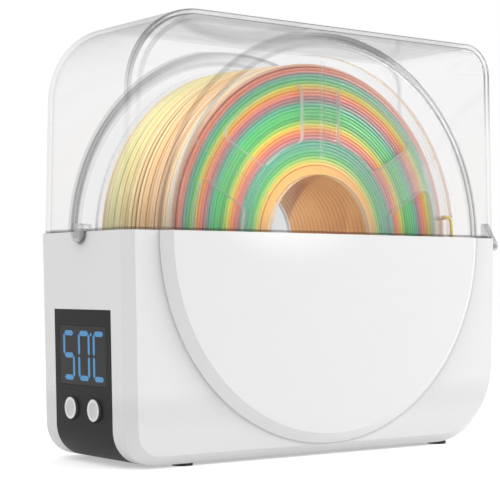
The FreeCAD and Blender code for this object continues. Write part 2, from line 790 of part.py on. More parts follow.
# Push buttons: cap, retaining flange behind the panel and stem over the switch
PANEL_FACE = "(-" + end_face("button_height") + ")"
FLANGE_FRONT = "(" + PANEL_FACE + " + housing_wall + button_clearance)"
STEM_END = "(" + SWITCH_FRONT + " - button_travel - button_clearance / 2)"
for side, name in BUTTONS:
    spot = (button_y(side), above("button_height"))
    cap = rod("cap_" + name, "X", *spot, (PANEL_FACE + " - button_rise", FLANGE_FRONT), "button_radius")
    rim = rod("cap_flange_" + name, "X", *spot, (FLANGE_FRONT, FLANGE_FRONT + " + button_flange"),
              "button_radius + button_flange")
    stem = rod("cap_stem_" + name, "X", *spot, (FLANGE_FRONT, STEM_END), "button_stem")
    node(fuse("button_solid_" + name, [cap, rim, stem]), "button_" + name)

# Screws: shank and head made by one function for each direction


def screws(label, heads, shanks):
    """A group of screws, each a head fused to its shank."""
    pairs = [fuse("%s_%d" % (label, index), list(pair)) for index, pair in enumerate(zip(heads, shanks))]
    node(group(label + "_group", pairs), label)


screws(
    "tray_screws",
    tray_screw_rods("tray_head_", (DECK_TOP, DECK_TOP + " + screw_head_height"), "screw_head"),
    tray_screw_rods("tray_shank_", (DECK_LOW + " - ledge_height", DECK_TOP), "screw_radius"),
)
screws(
    "board_screws",
    board_screw_rods("board_head_", (BOARD_BACK, BOARD_BACK + " + screw_head_height"), "screw_head"),
    board_screw_rods("board_shank_", (BOARD_FRONT + " - board_set_back / 3", BOARD_BACK), "screw_radius"),
)
screws(
    "bracket_screws",
    bracket_screw_rods("bracket_head_", (FOOT_TOP, FOOT_TOP + " + screw_head_height"), "screw_head"),
    bracket_screw_rods("bracket_shank_", (BASE, FOOT_TOP), "screw_radius"),
)

# Inner tray: decks on the ledges and a trough round the spool, open over the rollers
TRAY_Y = "(box_depth / 2 - housing_wall - loose_clearance)"
TROUGH_EDGE = "sqrt(trough_radius^2 - (box_height / 2 - deck_height)^2)"
tray_space = rounded_half(
    "tray_space", HOUSING_END + " - housing_wall - loose_clearance",
    HOUSING_END + " - end_draft - housing_wall - loose_clearance",
    RIM, BASE + " + housing_wall + loose_clearance",
    "small_corner - housing_wall - loose_clearance", "large_corner - housing_wall - loose_clearance",
    "2 * " + TRAY_Y, "edge_chamfer - (housing_wall + loose_clearance) * " + WALL_CHAMFER,
)
trough = common(
    "trough",
    cut("trough_ring",
        rod("trough_outside", "Y", "0", AXIS, ("-" + TRAY_Y, TRAY_Y), "trough_radius + tray_wall"),
        [rod("trough_inside", "Y", "0", AXIS,
             ("-%s - 1" % TRAY_Y, TRAY_Y + " + 1"), "trough_radius")]),
    half_space("trough_slab", "0", DECK_TOP),
)
decks = [
    box("deck_" + name, mirrored(side, TROUGH_EDGE, HOUSING_END), ("-" + TRAY_Y, TRAY_Y),
        (DECK_LOW, DECK_TOP))
    for side, name in ENDS
]
ROLLER_Y = "(spool_width / 2 - flange_thickness / 2)"
AXLE_END = "(" + ROLLER_Y + " + roller_width / 2)"
SLOT_Y = "(" + AXLE_END + " + slot_clearance)"
roller_slots = [
    box("roller_slot_" + name,
        mirrored(side, ROLLER_X + " - slot_width / 2", ROLLER_X + " + slot_width / 2"),
        ("-" + SLOT_Y, SLOT_Y), ("0", AXIS))
    for side, name in ENDS
]
vents = []
for index in range(int(value("vent_count"))):
    middle = "(%d - (vent_count - 1) / 2) * vent_pitch" % index
    vents.append(box(
        "vent_%d" % index, (middle + " - vent_width / 2", middle + " + vent_width / 2"),
        ("-vent_length / 2", "vent_length / 2"), ("0", AXIS),
    ))
tray = cut(
    "tray", common("tray_body", fuse("tray_mass", [trough] + decks), tray_space),
    roller_slots + vents
    + tray_screw_rods("deck_hole_", (DECK_LOW + " - 1", DECK_TOP + " + 1"), "screw_radius + fit_clearance"),
)
node(tray, "inner_tray")

# Roller axles: bracket, bushes, axle and two rollers on each side
BUSH_RADIUS = "axle_radius + bush_wall"
for side, name in ENDS:
    x = "%d * %s" % (side, ROLLER_X)
    cheeks = []
    bushes = []
    bush_holes = []
    rollers = []
    for end, end_name in SIDES:
        middle = "%d * bracket_span / 2" % end
        cheek_y = (middle + " - cheek_thickness / 2", middle + " + cheek_thickness / 2")
        tag = name + "_" + end_name
        cheeks.append(box("cheek_" + tag, (x + " - cheek_width / 2", x + " + cheek_width / 2"), cheek_y,
                          (FLOOR, ROLLER_Z + " + cheek_cap")))
        hole_radius = BUSH_RADIUS + " + run_clearance"
        bush_holes.append(rod("cheek_hole_" + tag, "Y", x, ROLLER_Z, cheek_y, hole_radius))
        bushes.append(cut(
            "bush_" + tag,
            rod("bush_outside_" + tag, "Y", x, ROLLER_Z, cheek_y, BUSH_RADIUS),
            [rod("bush_bore_" + tag, "Y", x, ROLLER_Z, cheek_y, "axle_radius + run_clearance")],
        ))
        roller_y = mirrored(end, ROLLER_Y + " - roller_width / 2", AXLE_END)
        rollers.append(cut(
            "roller_" + tag,
            rod("roller_rim_" + tag, "Y", x, ROLLER_Z, roller_y, "roller_radius"),
            [rod("roller_bore_" + tag, "Y", x, ROLLER_Z, roller_y, "axle_radius + run_clearance / 2")],
        ))
    foot = box("bracket_foot_" + name, (x + " - bracket_foot_width / 2", x + " + bracket_foot_width / 2"),
               ("-bracket_span / 2 - cheek_thickness / 2", "bracket_span / 2 + cheek_thickness / 2"),
               (FLOOR, FOOT_TOP))
    screw_holes = bracket_screw_rods(
        "bracket_hole_", (FLOOR, FOOT_TOP), "screw_radius + fit_clearance", ((side, name),)
    )
    bracket_body = fuse("bracket_body_" + name, [foot] + cheeks)
    bracket = cut("bracket_" + name, bracket_body, bush_holes + screw_holes)
    node(bracket, "roller_bracket_" + name)
    node(group("bushes_" + name, bushes), "axle_bushes_" + name)
    axle = rod("axle_" + name, "Y", x, ROLLER_Z, ("-" + AXLE_END, AXLE_END), "axle_radius")
    node(axle, "roller_axle_" + name)
    node(group("rollers_" + name, rollers), "spool_rollers_" + name)

# Heater under the tray: posts, plate, heating film and thermal cut-off
HEATER_LOW = above("heater_low")
HEATER_TOP = above("heater_low + heater_thickness")
HEATER_X = ("-heater_length / 2", "heater_length / 2")
HEATER_Y = ("-heater_width / 2", "heater_width / 2")
node(box("heater", HEATER_X, HEATER_Y, (HEATER_LOW, HEATER_TOP)), "heater_plate")
node(
    box("film", ("-heater_length / 2 + film_margin", "heater_length / 2 - film_margin"),
        ("-heater_width / 2 + film_margin", "heater_width / 2 - film_margin"),
        (HEATER_LOW + " - film_thickness", HEATER_LOW)),
    "heating_film",
)
posts = [
    rod("heater_post_%d_%d" % (across, along), "Z",
        "%d * (heater_length / 2 - film_margin / 2)" % across,
        "%d * (heater_width / 2 - film_margin / 2)" % along,
        (FLOOR, HEATER_LOW), "post_radius")
    for across in (-1, 1)
    for along in (-1, 1)
]
node(group("heater_post_group", posts), "heater_posts")
cutoff = box("cutoff", ("heater_length / 2 - cutoff_length", "heater_length / 2"),
             ("-cutoff_width / 2", "cutoff_width / 2"), (HEATER_TOP, HEATER_TOP + " + cutoff_height"))
node(cutoff, "thermal_cutoff")

# Temperature probe standing on the tray deck
probe = box("probe", ("probe_x - board_thickness / 2", "probe_x + board_thickness / 2"),
            ("probe_y - probe_board / 2", "probe_y + probe_board / 2"),
            (DECK_TOP, DECK_TOP + " + probe_board"))
node(probe, "temperature_probe")

# Power inlet in the rear wall: flanged barrel with a socket, and its centre pin
INLET = ("inlet_x", above("inlet_height"))
INLET_FACE = "(box_depth / 2 + inlet_flange_rise)"
INLET_BACK = "(box_depth / 2 - housing_wall - inlet_length)"
SOCKET_END = "(" + INLET_FACE + " - inlet_bore_depth)"
inlet = cut(
    "inlet",
    fuse("inlet_body", [
        rod("inlet_barrel", "Y", *INLET, (INLET_BACK, INLET_FACE), "inlet_radius"),
        rod("inlet_rim", "Y", *INLET, (REAR, INLET_FACE), "inlet_flange"),
    ]),
    [rod("inlet_socket", "Y", *INLET, (SOCKET_END, INLET_FACE + " + " + OVERSHOOT), "inlet_bore")],
)
node(inlet, "power_inlet")
inlet_rod = rod("inlet_rod", "Y", *INLET, (SOCKET_END, REAR + " - housing_wall / 2"), "inlet_pin")
node(inlet_rod, "inlet_pin")

# Spool: two flanges with windows and ribs, and the hub between them
FLANGE_OUT = "(spool_width / 2)"
FLANGE_IN = "(spool_width / 2 - flange_thickness)"
WOUND_RADIUS = "(filament_radius + wound_gap + filament_diameter / 2)"


def window_outline(sketch):
    """One window between two spokes: two arcs round the axis and an edge along each spoke."""
    half_turn = math.pi / value("spoke_count")
    offset = value("spoke_width") / 2
    inner = value("window_inner")
    outer = value("window_outer")
    inner_angle = half_turn - math.asin(offset / inner)
    outer_angle = half_turn - math.asin(offset / outer)
    axis = Vector(0, 0, 1)
    for radius, angle in ((inner, inner_angle), (outer, outer_angle)):
        ring = Part.Circle(Vector(), axis, radius)
        sketch.addGeometry(Part.ArcOfCircle(ring, -angle, angle), False)
    for sign in (-1, 1):
        near = Vector(inner * math.cos(inner_angle), sign * inner * math.sin(inner_angle), 0)
        far = Vector(outer * math.cos(outer_angle), sign * outer * math.sin(outer_angle), 0)
        sketch.addGeometry(Part.LineSegment(near, far), False)
    for arc, radius in ((0, "window_inner"), (1, "window_outer")):
        sketch.addConstraint(Sketcher.Constraint("Coincident", arc, 3, -1, 1))
        limit(sketch, Sketcher.Constraint("Radius", arc, value(radius)), radius)
        sketch.addConstraint(Sketcher.Constraint("Coincident", arc, 1, 2, 1 + arc))
        sketch.addConstraint(Sketcher.Constraint("Coincident", arc, 2, 3, 1 + arc))
    for line in (2, 3):
        limit(sketch, Sketcher.Constraint("Distance", -1, 1, line, offset), "spoke_width / 2")
        sign = -1 if line == 2 else 1
        limit(sketch, Sketcher.Constraint("Angle", line, sign * half_turn),
              "%d * 180 deg / spoke_count" % sign)


def around(body, name, feature, sketch):
    """Repeat a feature once for each spoke."""
    pattern = body.newObject("PartDesign::PolarPattern", name)
    pattern.Originals = [feature]
    pattern.Axis = (sketch, ["N_Axis"])
    pattern.Angle = 360
    bind(pattern, "Occurrences", "spoke_count")
    body.Tip = pattern
    doc.recompute()
    return pattern


def spool_flange(side, name):
    """A ring with rounded windows between spokes and a rib along each spoke."""
    body = doc.addObject("PartDesign::Body", "flange_" + name)
    ring_sketch = new_sketch(body, "ring_" + name, "XZ_Plane")
    circles(ring_sketch, ["spool_radius", "hub_bore"])
    pad(body, "ring_pad_" + name, ring_sketch, "flange_thickness")
    before = body.Shape.Volume
    window_sketch = new_sketch(body, "window_" + name, "XZ_Plane")
    window_outline(window_sketch)
    pocket = body.newObject("PartDesign::Pocket", "window_pocket_" + name)
    pocket.Profile = window_sketch
    pocket.Midplane = True
    bind(pocket, "Length", "2 * flange_thickness")
    doc.recompute()
    windows = around(body, "windows_" + name, pocket, window_sketch)
    if body.Shape.Volume > 0.95 * before:
        raise RuntimeError("The flange windows cut nothing")
    inner = value("window_inner")
    outer = value("window_outer")
    corners = edges_where(
        windows.Shape,
        lambda a, b: abs(a.y - b.y) > NEAR and inner - 1 < math.hypot(a.x, a.z) < outer + 1,
    )
    dress(body, "Fillet", "window_corners_" + name, windows, corners, "Radius", "window_corner")
    rib_sketch = new_sketch(body, "rib_" + name, "XZ_Plane")
    polygon(rib_sketch, [
        ("-rib_width / 2", "rib_inner"),
        ("rib_width / 2", "rib_inner"),
        ("rib_width / 2", "rib_outer"),
        ("-rib_width / 2", "rib_outer"),
    ])
    rib = pad(body, "rib_pad_" + name, rib_sketch, "flange_thickness / 2 + rib_rise", midplane=False)
    around(body, "ribs_" + name, rib, rib_sketch)
    turn = Rotation(Vector(0, 0, 1), 0 if side < 0 else 180)
    place(body, "0", "%d * (spool_width - flange_thickness) / 2" % side, AXIS, turn)
    doc.recompute()
    return body


PARK_X = "(" + WOUND_RADIUS + " * cos(park_angle * 1 deg))"
PARK_Z = "(" + AXIS + " + " + WOUND_RADIUS + " * sin(park_angle * 1 deg))"
PARK_REACH = ("-%s - flange_thickness / 2" % FLANGE_OUT, "-%s + flange_thickness / 2" % FLANGE_IN)
front_flange = cut(
    "flange_front_drilled", spool_flange(-1, "front"),
    [rod("park_hole_rod", "Y", PARK_X, PARK_Z, PARK_REACH, "park_hole")],
)
node(front_flange, "spool_flange_front")
node(spool_flange(1, "rear"), "spool_flange_rear")
HUB_REACH = ("-" + FLANGE_IN, FLANGE_IN)
hub = cut(
    "hub",
    rod("hub_outside", "Y", "0", AXIS, HUB_REACH, "hub_bore + hub_wall"),
    [rod("hub_inside", "Y", "0", AXIS, HUB_REACH, "hub_bore")],
)
node(hub, "spool_hub")

# Wound filament: a plain core under one outer layer of turns
CORE_REACH = ("-%s + wound_gap" % FLANGE_IN, FLANGE_IN + " - wound_gap")
core = cut(
    "core",
    rod("core_outside", "Y", "0", AXIS, CORE_REACH, "filament_radius"),
    [rod("core_inside", "Y", "0", AXIS, CORE_REACH, "hub_bore + hub_wall + wound_gap")],
)
node(core, "filament_core")


def tangent_arc(start, direction, end):
    """The arc that leaves start along a direction and reaches end."""
    chord = end - start
    along = Vector(chord).normalize()
    sideways = direction - along * direction.dot(along)
    lean = math.atan2(sideways.Length, direction.dot(along))
    middle = start + chord * 0.5 + sideways.normalize() * (chord.Length / 2 * math.tan(lean / 2))
    return Part.Arc(start, middle, end).toShape()


def biarc(start, leaving, end, arriving):
    """Two arcs, smooth where they meet, from one point and direction to another."""
    reach = end - start
    both = leaving + arriving
    square = 2 * (1 - leaving.dot(arriving))
    pull = reach.dot(both)
    step = (-pull + math.sqrt(pull * pull + square * reach.dot(reach))) / square
    meet = (start + leaving * step + end - arriving * step) * 0.5
    heading = (end - arriving * step - start - leaving * step).normalize()
    return [tangent_arc(start, leaving, meet), tangent_arc(meet, heading, end)]


def wound_path():
    """Edges of the outer layer: out of the rear flange, round the core, through the front flange."""
    radius = value(WOUND_RADIUS)
    bend = value("wound_bend")
    straight = value("filament_diameter")
    turns = value("wound_turns")
    inside = value(FLANGE_IN)
    middle = Vector(0, 0, value(AXIS))
    forward = Vector(0, -1, 0)
    margin = straight + bend
    rise = 2 * (inside - margin) / (2 * math.pi * turns)
    slope = math.atan2(rise, radius)
    last_angle = math.radians(value("park_angle")) - bend / radius
    first_angle = last_angle - 2 * math.pi * turns

    def spot(angle):
        lift = inside - margin - rise * (angle - first_angle)
        return middle + Vector(radius * math.cos(angle), lift, radius * math.sin(angle))

    def heading(angle):
        around_axis = Vector(-math.sin(angle), 0, math.cos(angle))
        return around_axis * math.cos(slope) + forward * math.sin(slope)

    tuck = bend * math.tan((math.pi / 2 - slope) / 2)
    first = spot(first_angle)
    first_bend = first - (forward + heading(first_angle)) * tuck
    entry = Vector(first_bend.x, inside, first_bend.z)
    edges = [Part.LineSegment(entry, first_bend).toShape(), tangent_arc(first_bend, forward, first)]
    quarters = int(4 * turns)
    for quarter in range(quarters):
        angle = first_angle + quarter * math.pi / 2
        after = angle + math.pi / 2
        edges.extend(biarc(spot(angle), heading(angle), spot(after), heading(after)))
    last = spot(last_angle)
    last_bend = last + (forward + heading(last_angle)) * tuck
    leave = Vector(last_bend.x, -value(FLANGE_OUT) - value("park_tail"), last_bend.z)
    edges.append(tangent_arc(last, heading(last_angle), last_bend))
    edges.append(Part.LineSegment(last_bend, leave).toShape())
    return Part.Wire(edges)


def least_gap(path, diameter):
    """The least clear distance of a tube to itself, measured on points along its line."""
    points = path.discretize(Distance=diameter)
    turn_points = int(math.pi * value(WOUND_RADIUS) / diameter)
    least = float("inf")
    for index, point in enumerate(points):
        for other in points[index + turn_points:index + 3 * turn_points]:
            least = min(least, point.distanceToPoint(other))
    return least - diameter


winding_path = wound_path()
filament = value("filament_diameter")
start_edge = winding_path.Edges[0]
start_point = start_edge.valueAt(start_edge.FirstParameter)
profile = Part.Wire(Part.makeCircle(filament / 2, start_point, Vector(0, -1, 0)))
winding = doc.addObject("Part::Feature", "winding")
winding.Shape = winding_path.makePipeShell([profile], True, False)
winding.Placement = Placement()
node(winding, "filament_winding")
print("filament_winding: length %.1f mm, least gap to itself %.2f mm"
      % (winding_path.Length, least_gap(winding_path, filament)))


# Inner leads: straight runs joined by tangent arcs
def rounded_path(points):
    """A wire along points, with each corner an arc as large as its runs allow."""
    edges = []
    here = points[0]
    for before, corner, after in zip(points, points[1:], points[2:]):
        into = (corner - before).normalize()
        out = (after - corner).normalize()
        reach = 0.45 * min((corner - before).Length, (after - corner).Length)
        arc_start = corner - into * reach
        arc_end = corner + out * reach
        print("lead bend radius %.1f mm" % (reach / math.tan(into.getAngle(out) / 2)))
        edges.append(Part.LineSegment(here, arc_start).toShape())
        edges.append(tangent_arc(arc_start, into, arc_end))
        here = arc_end
    edges.append(Part.LineSegment(here, points[-1]).toShape())
    return Part.Wire(edges)


def lead(label, points):
    """A round lead along points."""
    path = rounded_path([Vector(*(value(number) for number in point)) for point in points])
    first = path.Edges[0]
    direction = first.tangentAt(first.FirstParameter)
    ring = Part.Wire(Part.makeCircle(value("lead_radius"), first.valueAt(first.FirstParameter), direction))
    thing = doc.addObject("Part::Feature", label + "_tube")
    thing.Shape = path.makePipeShell([ring], True, False)
    thing.Placement = Placement()
    node(thing, label)


LEAD_HEIGHT = above("lead_height")
HEATER_MIDDLE = above("heater_low + heater_thickness / 2")
lead("heater_lead", [
    (BOARD_BACK, "0", LEAD_HEIGHT),
    (BOARD_BACK + " + 20", "0", LEAD_HEIGHT),
    (BOARD_BACK + " + 45", "0", HEATER_MIDDLE),
    ("-heater_length / 2", "0", HEATER_MIDDLE),
])
lead("power_lead", [
    ("inlet_x", INLET_BACK, above("inlet_height")),
    ("inlet_x", INLET_BACK + " - lead_turn", above("inlet_height")),
    (BOARD_BACK, INLET_BACK + " - lead_turn", above("inlet_height")),
])

# Check every object, then write each sub-part
doc.recompute()
for thing in doc.Objects:
    if "Invalid" in thing.State or "Error" in thing.State:
        raise RuntimeError("%s failed: %s" % (thing.Name, thing.State))
for thing in nodes:
    if thing.Shape.isNull() or not thing.Shape.isValid() or not thing.Shape.Solids:
        raise RuntimeError("%s has no valid solid" % thing.Label)
os.makedirs("parts", exist_ok=True)
for thing in nodes:
    thing.Shape.exportStep(os.path.join("parts", thing.Label + ".step"))
    print("%-22s %2d solids %10.1f mm3" % (thing.Label, len(thing.Shape.Solids), thing.Shape.Volume))
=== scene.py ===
import logging
import math
from dataclasses import dataclass, field
from enum import Enum
from typing import ClassVar, Sequence, TypeAlias

import bmesh
import bpy
import numpy as np
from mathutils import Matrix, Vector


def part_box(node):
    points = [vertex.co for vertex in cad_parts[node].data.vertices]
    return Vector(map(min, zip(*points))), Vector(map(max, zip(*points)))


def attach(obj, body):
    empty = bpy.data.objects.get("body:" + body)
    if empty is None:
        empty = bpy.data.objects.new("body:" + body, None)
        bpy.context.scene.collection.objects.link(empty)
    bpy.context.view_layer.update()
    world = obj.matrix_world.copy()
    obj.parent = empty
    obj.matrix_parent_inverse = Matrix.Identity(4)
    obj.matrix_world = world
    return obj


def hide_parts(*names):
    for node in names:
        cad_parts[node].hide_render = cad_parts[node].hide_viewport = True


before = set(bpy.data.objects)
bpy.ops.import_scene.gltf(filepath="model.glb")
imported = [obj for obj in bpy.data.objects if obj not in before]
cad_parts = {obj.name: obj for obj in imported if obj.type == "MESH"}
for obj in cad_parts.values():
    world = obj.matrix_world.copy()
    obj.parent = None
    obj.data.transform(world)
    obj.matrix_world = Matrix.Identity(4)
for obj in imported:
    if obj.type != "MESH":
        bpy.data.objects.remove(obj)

# Filament dryer box: looks of the white housing, the clear lid, the spool and its wound filament.
# Sizes are in millimetres in the frame's axes: X across the width, Y into the depth, Z up.

MM = 0.001
TURN = 2 * math.pi
SPOOL_AXIS = 118.0
WELD = 0.0005

Colour: TypeAlias = tuple[float, float, float]
Place: TypeAlias = tuple[float, float, float]
Circle: TypeAlias = tuple[float, float, float]
Stretch: TypeAlias = tuple[float, float, float]
Span: TypeAlias = tuple[float, float]
Numbers: TypeAlias = np.ndarray | float
Value: TypeAlias = "Socket | float"

WHITE: Colour = (1.0, 1.0, 1.0)
log = logging.getLogger("dryer_box")


class Body(Enum):
    """Moving bodies that new pieces ride on."""

    HOUSING = "housing"
    LID = "lid"
    SPOOL = "spool"


class Slot(Enum):
    """The part's material slots; each new piece holds one, which this script doesn't read."""

    CLEAR = "clear_plastic"
    FILAMENT = "filament"
    DISPLAY = "display"


class Axis(Enum):
    """The frame's axes, by the place of each in a point."""

    X = 0
    Y = 1
    Z = 2


class Ray(Enum):
    """Kinds of light path that a material can tell apart."""

    CAMERA = "Is Camera Ray"
    DIFFUSE = "Is Diffuse Ray"
    GLOSSY = "Is Glossy Ray"
    SHADOW = "Is Shadow Ray"
    TRANSMISSION = "Is Transmission Ray"


BACKGROUND_RAYS = (Ray.CAMERA, Ray.GLOSSY, Ray.TRANSMISSION)


def from_srgb(red: int, green: int, blue: int) -> Colour:
    """Linear colour of an eight-bit display colour, by the standard curve.

    Args:
        red: Red, from 0 to 255.
        green: Green, from 0 to 255.
        blue: Blue, from 0 to 255.

    Returns:
        The colour.
    """
    shares = np.array([red, green, blue]) / 255.0
    low = shares / 12.92
    high = ((shares + 0.055) / 1.055) ** 2.4
    return tuple(float(part) for part in np.where(shares <= 0.04045, low, high))


def shaded(colour: Colour, share: float) -> Colour:
    """A colour made darker by a share."""
    return tuple(part * share for part in colour)


# Shader graphs


class Socket:
    """One number or colour that leaves a node, usable in sums."""

    def __init__(self, graph: "Graph", out: bpy.types.NodeSocket) -> None:
        """Keeps a node's output and the graph that it is in."""
        self.graph = graph
        self.out = out

    def _join(self, operation: str, first: Value, second: Value) -> "Socket":
        """Result of a Math node on two values."""
        return self.graph.get("ShaderNodeMath", 0, {"operation": operation}, {0: first, 1: second})

    def __add__(self, other: Value) -> "Socket":
        """This value and another added."""
        return self._join("ADD", self, other)

    __radd__ = __add__

    def __sub__(self, other: Value) -> "Socket":
        """This value less another."""
        return self._join("SUBTRACT", self, other)

    def __rsub__(self, other: Value) -> "Socket":
        """Another value less this one."""
        return self._join("SUBTRACT", other, self)

    def __mul__(self, other: Value) -> "Socket":
        """This value times another."""
        return self._join("MULTIPLY", self, other)

    __rmul__ = __mul__

    def __truediv__(self, other: Value) -> "Socket":
        """This value over another."""
        return self._join("DIVIDE", self, other)

    def __rtruediv__(self, other: Value) -> "Socket":
        """Another value over this one."""
        return self._join("DIVIDE", other, self)

    def __pow__(self, other: Value) -> "Socket":
        """This value to the power of another."""
        return self._join("POWER", self, other)

    def __rpow__(self, other: Value) -> "Socket":
        """Another value to the power of this one."""
        return self._join("POWER", other, self)

    def __abs__(self) -> "Socket":
        """This value without its sign."""
        return self._join("ABSOLUTE", self, 0.0)

    def larger(self, other: Value) -> "Socket":
        """The larger of two values."""
        return self._join("MAXIMUM", self, other)

    def wave(self) -> "Socket":
        """Sine of this value, moved to lie between 0 and 1."""
        return self._join("SINE", self, 0.0) * 0.5 + 0.5

    def between(self, low: float, high: float) -> "Socket":
        """Value that goes from low to high as this one goes from 0 to 1."""
        return self * (high - low) + low

    def around(self, level: float, spread: float) -> "Socket":
        """Value that goes over a spread round a level as this one goes from 0 to 1."""
        return self.between(level - spread / 2, level + spread / 2)

    def step(self, start: float, end: float) -> "Socket":
        """Smooth rise from 0 at start to 1 at end."""
        inputs = {"Value": self, "From Min": start, "From Max": end}
        return self.graph.get("ShaderNodeMapRange", "Result", {"interpolation_type": "SMOOTHSTEP"}, inputs)

    def away(self, other: "Socket") -> "Socket":
        """Distance from zero of the point with these two coordinates."""
        return (self * self + other * other) ** 0.5


class Graph:
    """Node tree of a material or world, where one method, add, makes every kind of node."""

    EDGE_SAMPLES: ClassVar[int] = 4
    OPENNESS_SAMPLES: ClassVar[int] = 6

    def __init__(self, owner: bpy.types.ID) -> None:
        """Takes a node tree and empties it.

        Args:
            owner: The material or world.
        """
        owner.use_nodes = True
        self.tree = owner.node_tree
        self.tree.nodes.clear()

    def add(self, kind: str, settings: dict | None = None, inputs: dict | None = None) -> bpy.types.Node:
        """A new node.

        Args:
            kind: Node type.
            settings: Properties of the node, and the stops of a colour ramp.
            inputs: Constants or sockets by input name or number; None leaves an input as it is.

        Returns:
            The node.
        """
        node = self.tree.nodes.new(kind)
        for key, setting in (settings or {}).items():
            if key == "stops":
                self.fill_ramp(node.color_ramp, setting)
            else:
                setattr(node, key, setting)
        for key, given in (inputs or {}).items():
            entry = node.inputs[key]
            if isinstance(given, Socket):
                self.tree.links.new(given.out, entry)
            elif given is not None:
                entry.default_value = (*given, 1) if entry.type == "RGBA" else given
        return node

    @staticmethod
    def fill_ramp(ramp: bpy.types.ColorRamp, stops: Sequence[tuple[float, Colour]]) -> None:
        """Gives a colour ramp its stops.

        Args:
            ramp: The ramp.
            stops: Place and colour of each stop, in rising order.
        """
        while len(ramp.elements) < len(stops):
            ramp.elements.new(1.0)
        for element, (position, colour) in zip(ramp.elements, stops):
            element.position = position
            element.color = (*colour, 1)

    def get(
        self, kind: str, output: str | int, settings: dict | None = None, inputs: dict | None = None
    ) -> Socket:
        """One output of a new node."""
        return Socket(self, self.add(kind, settings, inputs).outputs[output])

    def mark(self, name: str) -> Socket:
        """Amount of a mark that the mesh carries at each point."""
        return self.get("ShaderNodeAttribute", "Fac", {"attribute_name": name})

    def film(self, tint: Colour) -> Socket:
        """A see-through shader of one tint."""
        return self.get("ShaderNodeBsdfTransparent", 0, inputs={"Color": tint})

    def place(self) -> Socket:
        """Place of the shaded point in the frame, in metres."""
        return self.get("ShaderNodeTexCoord", "Object")

    def part(self, axis: Axis) -> Socket:
        """One coordinate of the shaded point, in millimetres."""
        return self.get("ShaderNodeSeparateXYZ", axis.name, inputs={0: self.place()}) / MM

    def noise(self, size: float, detail: float = 2.0, stretch: Stretch = (1, 1, 1)) -> Socket:
        """Soft noise from 0 to 1.

        Args:
            size: Size of its patches in millimetres.
            detail: Finer layers on top.
            stretch: How much quicker it changes along each axis.

        Returns:
            The noise value.
        """
        scaled = self.get(
            "ShaderNodeVectorMath", 0, {"operation": "MULTIPLY"}, {0: self.place(), 1: stretch}
        )
        inputs = {"Vector": scaled, "Scale": 1 / (size * MM), "Detail": detail}
        return self.get("ShaderNodeTexNoise", 0, {"noise_dimensions": "3D"}, inputs)

    def blend(self, share: Value, first: Colour | Socket, second: Colour | Socket) -> Socket:
        """Colour between two colours, by the share of the second."""
        return self.get("ShaderNodeMix", 2, {"data_type": "RGBA"}, {0: share, 6: first, 7: second})

    def times(self, first: Socket, second: Socket) -> Socket:
        """One colour times another."""
        settings = {"data_type": "RGBA", "blend_type": "MULTIPLY"}
        return self.get("ShaderNodeMix", 2, settings, {0: 1.0, 6: first, 7: second})

    def bump(self, height: Socket, depth: float, normal: Socket | None = None) -> Socket:
        """Normal of a surface raised by a height from 0 to 1 times a depth in millimetres."""
        inputs = {"Height": height, "Distance": depth * MM, "Normal": normal}
        return self.get("ShaderNodeBump", 0, inputs=inputs)

    def openness(self, reach: float) -> Socket:
        """How open the surroundings are within a reach in millimetres, 0 in a crevice and 1 in the open."""
        settings = {"samples": self.OPENNESS_SAMPLES}
        return self.get("ShaderNodeAmbientOcclusion", 1, settings, {"Distance": reach * MM})

    def flat_normal(self) -> Socket:
        """Normal of the flat face itself."""
        return self.get("ShaderNodeNewGeometry", "True Normal")

    def facing(self, normal: Socket | None = None) -> Socket:
        """0 where the surface is seen square on and 1 where it is seen edge on."""
        return self.get("ShaderNodeLayerWeight", "Facing", inputs={"Normal": normal})

    def round_edges(self, radius: float) -> Socket:
        """Normal that turns softly over sharp edges within a radius in millimetres."""
        return self.get("ShaderNodeBevel", 0, {"samples": self.EDGE_SAMPLES}, {"Radius": radius * MM})

    def rays(self, *kinds: Ray) -> Socket:
        """1 on light paths of some kinds and 0 on the others.

        Args:
            kinds: The kinds.

        Returns:
            The value.
        """
        found, *others = [self.get("ShaderNodeLightPath", kind.value) for kind in kinds]
        for other in others:
            found = found.larger(other)
        return found

    def principled(self, **inputs: object) -> Socket:
        """A Principled shader; words of an input's name are joined by underscores."""
        named = {key.replace("_", " "): given for key, given in inputs.items()}
        return self.get("ShaderNodeBsdfPrincipled", 0, inputs=named)

    def mix(self, share: Value, first: Socket, second: Socket) -> Socket:
        """A shader between two shaders, by the share of the second."""
        return self.get("ShaderNodeMixShader", 0, inputs={0: share, 1: first, 2: second})


# Finishes


@dataclass(frozen=True)
class Finish:
    """A finish by its name, which becomes a material."""

    name: str

    def shader(self, graph: Graph) -> Socket:
        """Shader of the finish, which each kind of finish makes in its own way."""
        raise NotImplementedError

    def material(self) -> bpy.types.Material:
        """Makes a material of this finish.

        Returns:
            The material, with the shader on its surface.
        """
        made = bpy.data.materials.new(self.name)
        graph = Graph(made)
        graph.add("ShaderNodeOutputMaterial", inputs={"Surface": self.shader(graph)})
        return made


@dataclass(frozen=True)
class PaintedCreviceShade:
    """Painted shade: darkening where other surfaces are within a reach, left out towards the floor,
    which lights the lowest band.

    The power sharpens it, the shade is the share of the colour that is left, and between the two
    heights of the floor span it comes in.
    """

    reach: float
    power: float
    shade: float
    floor_span: Span
    floor_share: float = 1.0

    def darken(self, graph: Graph, colour: Colour, coloured: Socket) -> Socket:
        """Paints shade on a surface in its crevices.

        Args:
            graph: Node tree of the material.
            colour: Plain colour of the surface.
            coloured: Its colour at each point so far.

        Returns:
            Its colour at each point.
        """
        near_floor = (1 - graph.part(Axis.Z).step(*self.floor_span)) * self.floor_share
        in_open = (graph.openness(self.reach) ** self.power).larger(near_floor)
        return graph.blend(in_open, shaded(colour, self.shade), coloured)


